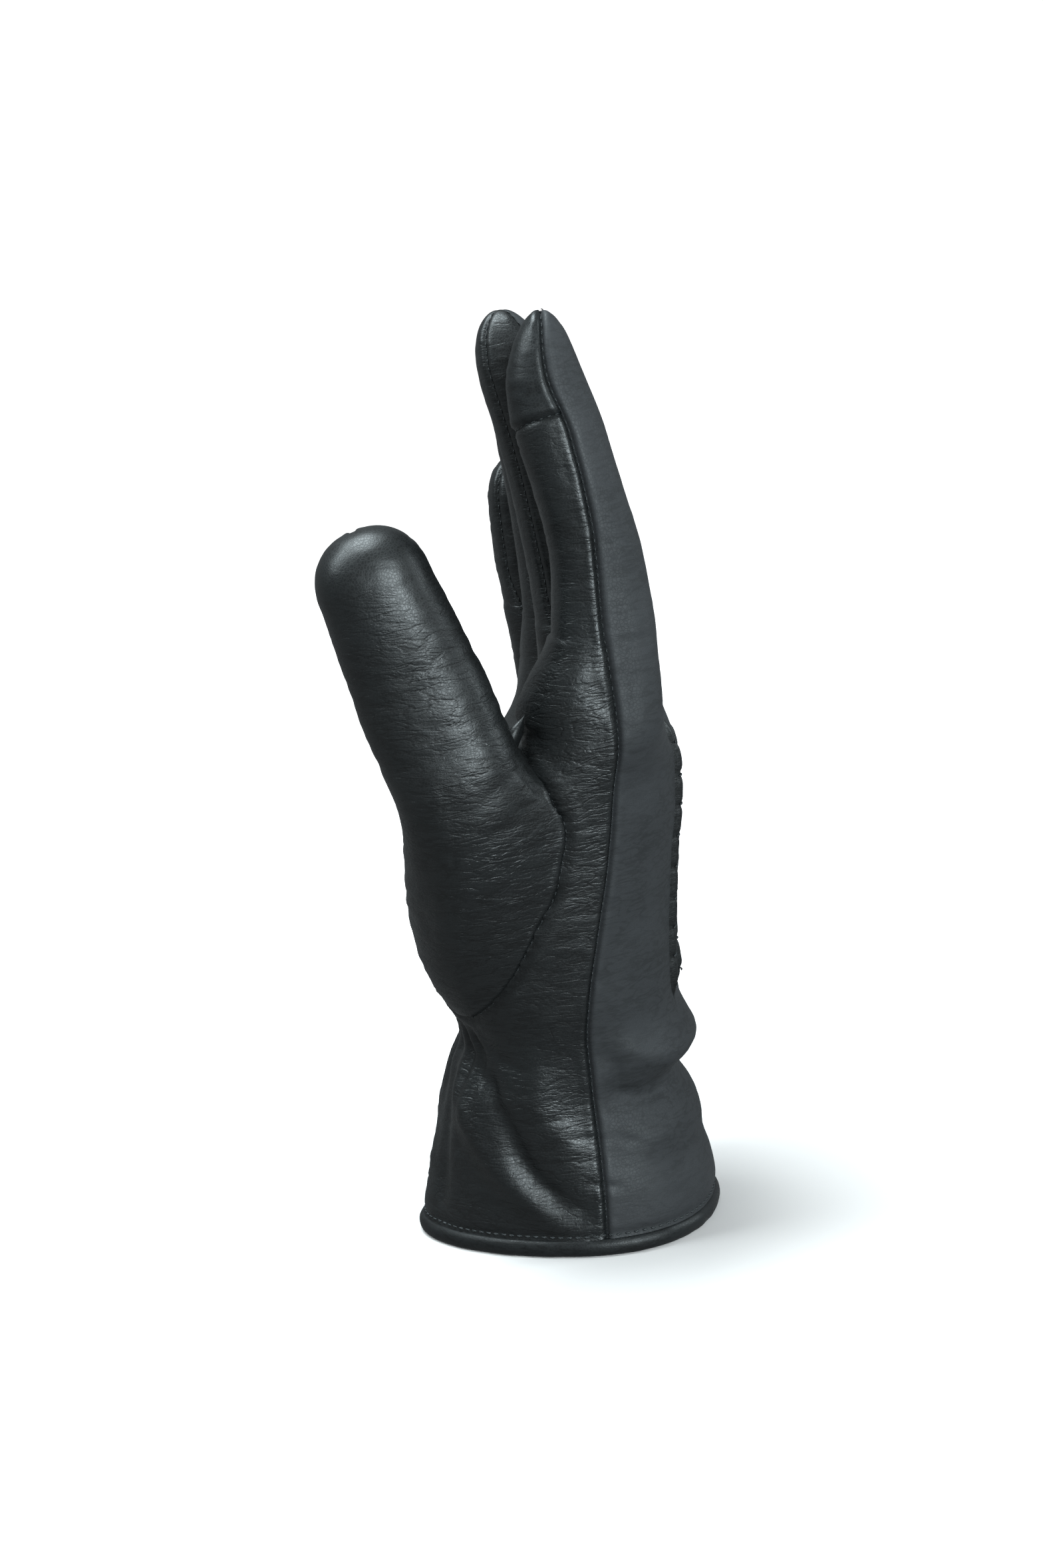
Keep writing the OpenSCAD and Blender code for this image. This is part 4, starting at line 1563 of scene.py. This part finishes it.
@dataclass
class Maker:
    """What every part of the glove shares: the cut leather and the finishes."""

    cutter: Cutter
    thumb: ThumbCutter
    finishes: Finishes
    strips: dict = field(default_factory=dict)
    forks: dict = field(default_factory=dict)

    def __post_init__(self) -> None:
        """Cut and shape every strip once."""
        for digit in Digit:
            for side in Side:
                self.strips[digit, side] = self.cutter.strip(digit, side)
        for digit, name in self.cutter.forks:
            self.forks[digit, name] = self.cutter.fork(digit, name)

    def panel(self, side: Side) -> Sheet:
        """Return the palm or the back of the hand as one sheet."""
        whole = side_by_side([self.strips[d, side].rows(HEM, CROTCH) for d in panel_order(side)])
        reach = reach_from(whole.points, 0)
        across = reach - reach[:, reach.shape[1] // 2][:, None]
        return Sheet(whole.points, whole.normals, whole.heights, across, whole.wrinkle, whole.wear)

    def directions(self, side: Side) -> Array:
        """Return the direction on the hand of each of a panel's points."""
        return self.cutter.panel_ways(side)

    def traced(
        self, side: Side, knots: Sequence[tuple[float, float]], step: float = 0.8,
    ) -> tuple[Array, Array]:
        """Lay a line over the finished leather of the hand.

        Args:
            side: The panel it runs over.
            knots: Pairs of direction and height.
            step: The gap between the line's points, in millimetres.

        Returns:
            The line's points and the way out of the leather at each.
        """
        sheet, ways = self.panel(side), self.directions(side)
        knot = np.array(knots, float)
        count = int(abs(knot[-1, 1] - knot[0, 1]) / step) + 4
        order = np.linspace(0, 1, count)
        stops = np.linspace(0, 1, len(knot))
        direction = np.interp(order, stops, knot[:, 0])
        height = np.interp(order, stops, knot[:, 1])
        low = self.cutter.low
        points = look_up(sheet.points, ways, low, direction, height)
        return points, unit(look_up(sheet.normals, ways, low, direction, height))


def finished(piece: bpy.types.Object, slot: str, *nodes: str) -> bpy.types.Object:
    """Hide the CAD nodes that a piece stands for, and log the piece."""
    if nodes:
        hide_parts(*nodes)
    log.info("made %s, %d faces", piece.name, len(piece.data.polygons))
    return piece


def cut_leaf(piece: bpy.types.Object, ways: Array, heights: Array, shrink: float) -> None:
    """Open the palm's leather where the thumb is set in.

    Args:
        piece: The palm's mesh, still without thickness.
        ways: The direction of each of its points.
        heights: The height of each of its points.
        shrink: The opening's size against the thumb's own outline.
    """
    inside = inside_leaf(ways, heights, shrink).ravel()
    work = bmesh.new()
    work.from_mesh(piece.data)
    work.verts.ensure_lookup_table()
    bmesh.ops.delete(work, geom=[v for v, gone in zip(work.verts, inside) if gone], context="VERTS")
    work.to_mesh(piece.data)
    work.free()


@dataclass
class Hand:
    """The hand of the glove: its two panels, lining, cuff, seams and trimmings."""

    maker: Maker

    def build(self) -> None:
        """Make every piece that rides on the hand."""
        self.panels()
        self.lining()
        self.binding()
        self.seams()
        self.tucks()
        self.elastic()

    def panels(self) -> None:
        """Make the palm and back leather."""
        m = self.maker
        sheet = m.panel(Side.PALM)
        palm = sheet_mesh("palm_leather_panel", sheet)
        cut_leaf(palm, m.directions(Side.PALM), sheet.heights, PALM_OPENING)
        thicken(palm, LEATHER)
        smooth_shade(palm)
        dress(palm, m.finishes.palm)
        finished(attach(palm, "hand"), "palm_leather", "palm_panel")
        back = leather_piece("back_leather_panel", m.panel(Side.BACK), LEATHER, m.finishes.back)
        finished(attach(back, "hand"), "back_leather", "back_panel")

    def lining(self) -> None:
        """Make the knitted lining of the hand."""
        m = self.maker
        back, palm = m.panel(Side.BACK), m.panel(Side.PALM)
        ways = np.concatenate([m.directions(Side.BACK), m.directions(Side.PALM)[:, 1:]], axis=1)
        whole = side_by_side([back, palm])
        rows = sorted({*range(4, whole.points.shape[0], 3), whole.points.shape[0] - 1})
        columns = sorted({*range(0, whole.points.shape[1], 3), whole.points.shape[1] - 1})
        sheet = whole.pushed(-LINING_DEPTH)
        sheet = Sheet(*[getattr(sheet, n)[rows][:, columns] for n in Sheet.__dataclass_fields__])
        piece = sheet_mesh("hand_knit_lining", sheet)
        cut_leaf(piece, ways[rows][:, columns], sheet.heights, LINING_OPENING)
        weld(piece)
        thicken(piece, KNIT)
        smooth_shade(piece)
        dress(piece, m.finishes.lining)
        finished(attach(piece, "hand"), "lining", "hand_lining")

    def binding(self) -> None:
        """Make the rolled leather binding of the cuff and the stitches above it."""
        m = self.maker
        direction = np.linspace(0, 360, 300)
        height = HEM + 0 * direction
        line = HAND.point(direction, height)
        ahead = HAND.point(direction + 0.5, height) - HAND.point(direction - 0.5, height)
        outward = unit(np.cross(ahead, np.array((0.0, 0.0, 1.0))))
        outline = (
            (-2.58, -0.9), (-2.42, 0.15), (-1.75, 0.85), (-0.6, 1.15), (0.5, 1.05), (1.3, 0.6), (1.7, 0.0),
            (1.6, -1.0), (1.9, -1.9), (1.2, -2.5), (0.0, -2.7), (-1.2, -2.5), (-2.2, -1.9),
        )
        section = cross_section(outline, 40)
        sheet = ribbon(line, outward, section, closed=True)
        uneven = PUCKER.at(line[None], (3.1, 3.1, 3.1))
        sheet = shift(sheet, 0.14 * uneven * smooth(-0.2, 0.8, section[:, 1])[:, None])
        sheet.points[..., 2] = np.maximum(sheet.points[..., 2], 0.0)
        piece = sheet_mesh("cuff_leather_binding", sheet)
        weld(piece, 0.02)
        smooth_shade(piece)
        dress(piece, m.finishes.trim)
        finished(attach(piece, "hand"), "trim_leather", "cuff_binding")
        back, palm = m.panel(Side.BACK), m.panel(Side.PALM)
        row = int(np.argmin(np.abs(m.cutter.low - HEM_STITCHES)))
        line = np.concatenate([back.points[row], palm.points[row, 1:]])
        outward = np.concatenate([back.normals[row], palm.normals[row, 1:]])
        places = run_along(line, outward, HEM_PITCH)
        piece = stitches("cuff_hem_stitches", places, m.finishes.thread, HEM_THREAD)
        finished(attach(piece, "hand"), "thread", "hem_stitching")

    def seams(self) -> None:
        """Make the stitches down both sides of the hand."""
        m = self.maker
        side = m.strips[Digit.INDEX, Side.PALM].rows(8, CROTCH)
        places = run_along(side.points[:, -1], side.normals[:, -1])
        piece = stitches("thumb_side_seam_stitches", places, m.finishes.thread)
        finished(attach(piece, "hand"), "thread", "side_seam_stitching")
        side = m.strips[Digit.LITTLE, Side.PALM].rows(8, CROTCH)
        places = run_along(side.points[:, 0], side.normals[:, 0])
        piece = stitches("outer_side_seam_stitches", places, m.finishes.thread)
        finished(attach(piece, "hand"), "thread")

    def tucks(self) -> None:
        """Make the three raised tucks of the back and the big stitches across them."""
        m = self.maker
        places: list = []
        for name, way in (("thumb_side", -30.0), ("middle", 0.0), ("outer", 30.0)):
            knots = [(way * 0.62, 57.0), (way * 0.77, 94.0), (way * 0.93, 133.0)]
            line, outward = m.traced(Side.BACK, knots)
            reach = reach_along(line)
            ends = smooth(0, 5, reach) * smooth(0, 5, reach[-1] - reach)
            beat = (reach - TUCK_START) % TUCK_PITCH
            pinch = 1 - 0.32 * bell(np.minimum(beat, TUCK_PITCH - beat), 1.1)
            outline = (
                (-1.75, -0.35), (-1.25, 0.5), (-0.7, 1.35), (0.0, 1.62), (0.7, 1.35), (1.25, 0.5),
                (1.75, -0.35), (0.9, -0.6), (-0.9, -0.6),
            )
            sheet = ribbon(line, outward, cross_section(outline, 25)[::-1])
            size = (0.02 + 0.98 * ends) * (0.5 + 0.5 * pinch)
            tall = (0.02 + 0.98 * ends) * pinch
            middle = sheet.points - line
            up = (middle * outward).sum(axis=-1, keepdims=True) * outward
            sheet.points = line + (middle - up) * size[:, None] + up * tall[:, None]
            sheet.normals = grid_normals(sheet.points)
            uneven = 0.1 * PUCKER.at(sheet.points, (2.4, 2.4, 2.4))
            piece = sheet_mesh(f"back_tuck_{name}", shift(sheet, uneven))
            weld(piece, 0.03)
            smooth_shade(piece, 75)
            dress(piece, m.finishes.palm)
            nodes = ("back_tucks",) if name == "middle" else ()
            finished(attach(piece, "hand"), "back_leather", *nodes)
            for at in np.arange(TUCK_START, reach[-1] - 3, TUCK_PITCH):
                i = int(np.argmin(np.abs(reach - at)))
                run = np.cross(outward[i], line[min(i + 1, len(line) - 1)] - line[i - 1])
                places.append((line[i] + outward[i] * 1.32, run, outward[i]))
        piece = stitches("back_tuck_stitches", places, m.finishes.thread, TUCK_THREAD)
        finished(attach(piece, "hand"), "thread", "tuck_stitching")

    def elastic(self) -> None:
        """Make the band of elastic that gathers the wrist inside the palm."""
        direction = np.linspace(*ELASTIC_WAYS, 64)[None, :]
        z = np.linspace(*ELASTIC_HEIGHTS, 12)[:, None]
        points = HAND.point(direction, z + 0 * direction)
        normals = grid_normals(points)
        heights = z + 0 * direction
        across = reach_from(points, 0)
        sheet = Sheet(points, normals, heights, across, 0 * heights, 0 * heights)
        ribs = -ELASTIC_DEPTH + 0.12 * np.sin(heights * 2 * pi / ELASTIC_RIB)
        piece = leather_piece("wrist_elastic_band", shift(sheet, ribs), 0.8, self.maker.finishes.elastic)
        finished(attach(piece, "hand"), "elastic", "wrist_elastic")


@dataclass
class Finger:
    """One finger stall: palm and back strips, fourchettes, lining and seams, cut at the middle joint."""

    maker: Maker
    digit: Digit

    @property
    def name(self) -> str:
        """Return the finger's name."""
        return self.digit.name.lower()

    @property
    def stall(self) -> StallShape:
        """Return the finger's shape."""
        return STALLS[self.digit]

    def bend(self, piece: bpy.types.Object, tip: bool) -> bpy.types.Object:
        """Bake the piece's transform into its mesh, whether it belongs at the finger's root or at its middle
        joint.
        """
        low, high = self.stall.knuckle_bend if tip else self.stall.root_bend
        bodies = (f"{self.name}_lower", f"{self.name}_upper") if tip else ("hand", f"{self.name}_lower")
        x = float(self.stall.middle(low)) * MM
        y = self.stall.y * MM
        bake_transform(piece)
        return piece

    def build(self) -> None:
        """Make every piece of the finger."""
        for tip in (False, True):
            self.outside(tip)
            self.forks(tip)
            self.lining(tip)
            self.seams(tip)

    def span(self, tip: bool) -> tuple[float, float]:
        """Return the first and last length of the root or tip part."""
        return (self.stall.split, self.stall.length + 1) if tip else (CROTCH, self.stall.split)

    def outside(self, tip: bool) -> None:
        """Make the palm and back strips."""
        m = self.maker
        part = "tip" if tip else "root"
        low, high = self.span(tip)
        index = self.digit is Digit.INDEX
        palm = m.strips[self.digit, Side.PALM]
        front = palm.rows(low, PATCH_ROW if index and tip else high)
        piece = leather_piece(f"{self.name}_palm_leather_{part}", front, LEATHER, m.finishes.palm)
        if tip:
            nodes = (f"{self.name}_upper_front",)
        else:
            nodes = (f"{self.name}_lower_front", f"{self.name}_root_sleeve")
        finished(self.bend(piece, tip), "palm_leather", *nodes)
        back = m.strips[self.digit, Side.BACK].rows(low, high)
        piece = leather_piece(f"{self.name}_back_leather_{part}", back, LEATHER, m.finishes.back)
        nodes = (f"{self.name}_upper_back",) if tip else (f"{self.name}_lower_back",)
        finished(self.bend(piece, tip), "back_leather", *nodes)
        if index and tip:
            patch = palm.rows(PATCH_ROW, high)
            piece = leather_piece("index_touch_patch", patch, PATCH_LEATHER, m.finishes.trim)
            finished(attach(piece, "index_upper"), "trim_leather", "index_tip_patch")

    def forks(self, tip: bool) -> None:
        """Make the fourchettes between this finger and its neighbours."""
        m = self.maker
        part = "tip" if tip else "root"
        names = [name for digit, name in m.forks if digit is self.digit]
        plural = "s" if len(names) == 2 else ""
        node = f"{self.name}_{'upper' if tip else 'lower'}_fourchette{plural}"
        for i, name in enumerate(names):
            sheet = m.forks[self.digit, name].rows(*self.span(tip))
            title = f"{self.name}_fourchette_{name}_side_{part}"
            piece = leather_piece(title, sheet, FOURCHETTE_LEATHER, m.finishes.palm)
            finished(self.bend(piece, tip), "palm_leather", *((node,) if i == 0 else ()))

    def lining(self, tip: bool) -> None:
        """Make the knitted lining of the finger."""
        m = self.maker
        part = "tip" if tip else "root"
        low, high = self.span(tip)
        parts = [m.strips[self.digit, Side.BACK].rows(low, high)]
        if (self.digit, "little") in m.forks:
            parts.append(m.forks[self.digit, "little"].rows(low, high))
        parts.append(m.strips[self.digit, Side.PALM].rows(low, high))
        if (self.digit, "thumb") in m.forks:
            parts.append(m.forks[self.digit, "thumb"].rows(low, high))
        sheet = side_by_side(parts).coarse(3).pushed(-LINING_DEPTH)
        piece = leather_piece(f"{self.name}_knit_lining_{part}", sheet, KNIT, m.finishes.lining)
        if tip:
            nodes = (f"{self.name}_upper_lining",)
        else:
            nodes = (f"{self.name}_lower_lining", f"{self.name}_knuckle_sleeve")
        finished(self.bend(piece, tip), "lining", *nodes)

    def seams(self, tip: bool) -> None:
        """Make the stitches of the finger's seams."""
        m = self.maker
        low, high = self.span(tip)
        if tip:
            high = self.stall.length - 2.5
        else:
            low = CROTCH + (0.0 if self.digit in (Digit.INDEX, Digit.LITTLE) else 3.0)
        places: list = []
        for side in Side:
            sheet = m.strips[self.digit, side].rows(low, high)
            for column in (0, -1):
                shared = (self.digit, side, column) in (
                    (Digit.INDEX, Side.BACK, 0), (Digit.LITTLE, Side.BACK, -1)
                )
                if not shared:
                    places += run_along(sheet.points[:, column], sheet.normals[:, column])
        if self.digit is Digit.INDEX and tip:
            row = m.strips[self.digit, Side.PALM].rows(PATCH_ROW - 0.1, PATCH_ROW + 0.1)
            places += run_along(row.points[0], row.normals[0])
        part = "tip" if tip else "root"
        piece = stitches(f"{self.name}_seam_stitches_{part}", places, m.finishes.thread)
        finished(self.bend(piece, tip), "thread")


@dataclass
class Thumb:
    """The set-in thumb: base, stall in two parts, lining, quirk and seam."""

    maker: Maker

    @staticmethod
    def on_axis(h: float) -> Array:
        """Return the point of the thumb's axis at a height along it, in metres."""
        return (np.array(THUMB.root) + THUMB.way * h) * MM

    def bend(self, piece: bpy.types.Object, tip: bool) -> bpy.types.Object:
        """Bake the piece's transform into its mesh, whether it belongs where the thumb leaves the hand or at
        its joint.
        """
        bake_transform(piece)
        return piece

    def build(self) -> None:
        """Make every piece of the thumb."""
        m = self.maker
        base, stall = m.thumb.base(), m.thumb.stall()
        piece = leather_piece("thumb_base_leather_set_in", base, LEATHER, m.finishes.palm)
        finished(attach(piece, "hand"), "palm_leather", "thumb_base_leather")
        inner = base.coarse(3).pushed(-BASE_LINING_DEPTH)
        piece = leather_piece("thumb_base_knit_lining", inner, KNIT, m.finishes.lining)
        finished(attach(piece, "hand"), "lining", "thumb_base_lining")
        low, split, high = m.thumb.start, m.thumb.split, THUMB.length
        for tip, span in ((False, (low, split)), (True, (split, high + 1))):
            part = "tip" if tip else "root"
            sheet = stall.rows(*span)
            piece = leather_piece(f"thumb_leather_{part}", sheet, LEATHER, m.finishes.palm)
            nodes = (
                ("thumb_upper_leather", "thumb_knuckle_sleeve")
                if tip
                else ("thumb_lower_leather", "thumb_root_sleeve")
            )
            finished(self.bend(piece, tip), "palm_leather", *nodes)
            inner = sheet.coarse(3).pushed(-LINING_DEPTH)
            piece = leather_piece(f"thumb_knit_lining_{part}", inner, KNIT, m.finishes.lining)
            finished(self.bend(piece, tip), "lining", "thumb_upper_lining" if tip else "thumb_lower_lining")
            column = int(np.argmin(np.abs(LEAF_ANGLE(m.thumb.share) - THUMB_SEAM_ANGLE)))
            seam = stall.rows(max(span[0], low + 4), min(span[1], high - 3))
            places = run_along(seam.points[:, column], seam.normals[:, column])
            piece = stitches(f"thumb_seam_stitches_{part}", places, m.finishes.thread)
            finished(self.bend(piece, tip), "thread")
        places = run_along(base.points[0], base.normals[0])
        piece = stitches("thumb_base_seam_stitches", places, m.finishes.thread)
        finished(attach(piece, "hand"), "thread")
        self.quirk()

    def quirk(self) -> None:
        """Make the small welt that eases the fork between thumb and hand."""
        m = self.maker
        t = np.linspace(0.0, 1.0, 21)[:, None]
        line = np.array((2.2, -39.6, 137.2)) * t + np.array((-3.9, -41.0, 125.0)) * (1 - t)
        line += np.array((-1.0, -0.4, 0.0)) * np.sin(pi * t)
        outward = unit(np.array((-0.35, -0.93, 0.1)) + 0 * line)
        reach = reach_along(line)
        ends = 0.03 + 0.97 * smooth(0, 5, reach) * smooth(0, 5, reach[-1] - reach)
        outline = ((-1.5, -2.0), (-1.3, 1.2), (0.0, 2.2), (1.3, 1.2), (1.5, -2.0), (0.0, -2.6))
        sheet = ribbon(line, outward, cross_section(outline, 21)[::-1])
        sheet.points = line[None] + (sheet.points - line[None]) * ends[None, :, None]
        sheet.normals = grid_normals(sheet.points)
        piece = sheet_mesh("thumb_quirk_welt", sheet)
        weld(piece, 0.03)
        smooth_shade(piece, 75)
        dress(piece, m.finishes.palm)
        finished(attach(piece, "hand"), "palm_leather", "thumb_quirk")


# ---------------------------------------------------------------- studio


@dataclass(frozen=True)
class SoftLight:
    """A rectangular studio light."""

    name: str
    place: tuple[float, float, float]
    aim: tuple[float, float, float]
    size: tuple[float, float]
    power: float

    def make(self) -> None:
        """Hang the light."""
        data = bpy.data.lights.new(self.name, "AREA")
        data.shape = "RECTANGLE"
        data.size, data.size_y = self.size
        data.energy = self.power
        data.color = LIGHT_COLOUR
        light = bpy.data.objects.new(self.name, data)
        bpy.context.scene.collection.objects.link(light)
        light.location = self.place
        way = Vector(self.aim) - Vector(self.place)
        light.rotation_euler = way.to_track_quat("-Z", "Y").to_euler()


@dataclass(frozen=True)
class Studio:
    """The pale floor, the light and the camera."""

    target: tuple[float, float, float] = (-0.35, 0.0, 112.4)
    distance: float = 730.0
    elevation: float = 12.02
    roll: float = 6.18
    lens: float = 101.6

    def build(self) -> None:
        """Set up the studio round the glove."""
        self.floor()
        self.world()
        self.lights()
        self.camera()

    def floor(self) -> None:
        """Make the white floor and the white shell round it."""
        clear_selection()
        bpy.ops.mesh.primitive_circle_add(vertices=96, radius=STUDIO_RADIUS, fill_type="TRIFAN")
        floor = bpy.context.active_object
        floor.name = "studio_floor"
        n = Nodes("studio_floor_white")
        n.shader.inputs["Base Color"].default_value = FLOOR_COLOUR
        n.shader.inputs["Roughness"].default_value = 0.9
        n.shader.inputs["Specular IOR Level"].default_value = 0.1
        n.shader.inputs["Emission Color"].default_value = WHITE
        away = n.add("ShaderNodeVectorMath", operation="LENGTH")
        n.link(n.where, away.inputs[0])
        n.link(n.span(away.outputs["Value"], (0.04, 0.3), (0.0, 1.0)), n.shader.inputs["Emission Strength"])
        floor.data.materials.append(n.material)
        clear_selection()
        bpy.ops.mesh.primitive_uv_sphere_add(segments=64, ring_count=32, radius=STUDIO_RADIUS)
        shell = bpy.context.active_object
        shell.name = "studio_shell"
        make_current(shell)
        bpy.ops.object.mode_set(mode="EDIT")
        bpy.ops.mesh.select_all(action="SELECT")
        bpy.ops.mesh.flip_normals()
        bpy.ops.object.mode_set(mode="OBJECT")
        n = Nodes("studio_shell_white")
        n.shader.inputs["Base Color"].default_value = SHELL_COLOUR
        n.shader.inputs["Emission Color"].default_value = WHITE
        n.shader.inputs["Emission Strength"].default_value = 1.0
        shell.data.materials.append(n.material)
        for piece in (floor, shell):
            piece.visible_glossy = False
            piece.visible_diffuse = False
        shell.visible_shadow = False

    def world(self) -> None:
        """Fill the room with a little even light."""
        world = bpy.data.worlds.new("studio_room")
        world.use_nodes = True
        sky = world.node_tree.nodes["Background"]
        sky.inputs["Color"].default_value = SKY_COLOUR
        sky.inputs["Strength"].default_value = 0.22
        bpy.context.scene.world = world

    def lights(self) -> None:
        """Hang the soft lights."""
        middle = (0.0, 0.0, 0.12)
        for light in (
            SoftLight("overhead_softbox", (-0.25, 0.1, 1.25), (0.0, 0.0, 0.1), (0.6, 0.6), 16.0),
            SoftLight("key_softbox", (0.56, -1.08, 0.42), middle, (0.34, 0.75), 13.0),
            SoftLight("front_softbox", (0.2, -1.25, 0.4), middle, (0.32, 0.5), 5.0),
            SoftLight("right_softbox", (1.1, 0.05, 0.5), middle, (0.3, 0.8), 3.4),
            SoftLight("left_softbox", (-0.8, -0.15, 1.0), middle, (0.3, 0.6), 6.0),
        ):
            light.make()

    def camera(self) -> None:
        """Stand the camera and tilt it as the view needs."""
        data = bpy.data.cameras.new("studio_camera")
        data.sensor_fit = "HORIZONTAL"
        data.sensor_width = 36.0
        data.lens = self.lens
        data.clip_start = 0.01
        data.clip_end = 50.0
        camera = bpy.data.objects.new("studio_camera", data)
        bpy.context.scene.collection.objects.link(camera)
        rise = radians(self.elevation)
        away = Vector((0.0, -cos(rise), sin(rise))) * self.distance
        place = (Vector(self.target) + away) * MM
        tilt = Matrix.Rotation(pi / 2 - rise, 4, "X") @ Matrix.Rotation(-radians(self.roll), 4, "Z")
        camera.matrix_world = Matrix.Translation(place) @ tilt
        bpy.context.scene.camera = camera
        bpy.context.scene.view_settings.view_transform = "Standard"


def main() -> None:
    """Build the glove piece by piece, then the studio."""
    logging.basicConfig(level=logging.INFO, format="%(message)s", stream=sys.stdout)
    cutter = Cutter()
    maker = Maker(cutter, ThumbCutter(cutter), Finishes())
    Hand(maker).build()
    for digit in Digit:
        Finger(maker, digit).build()
    Thumb(maker).build()
    Studio().build()
    log.info("glove ready")


if __name__ == "__main__":
    main()
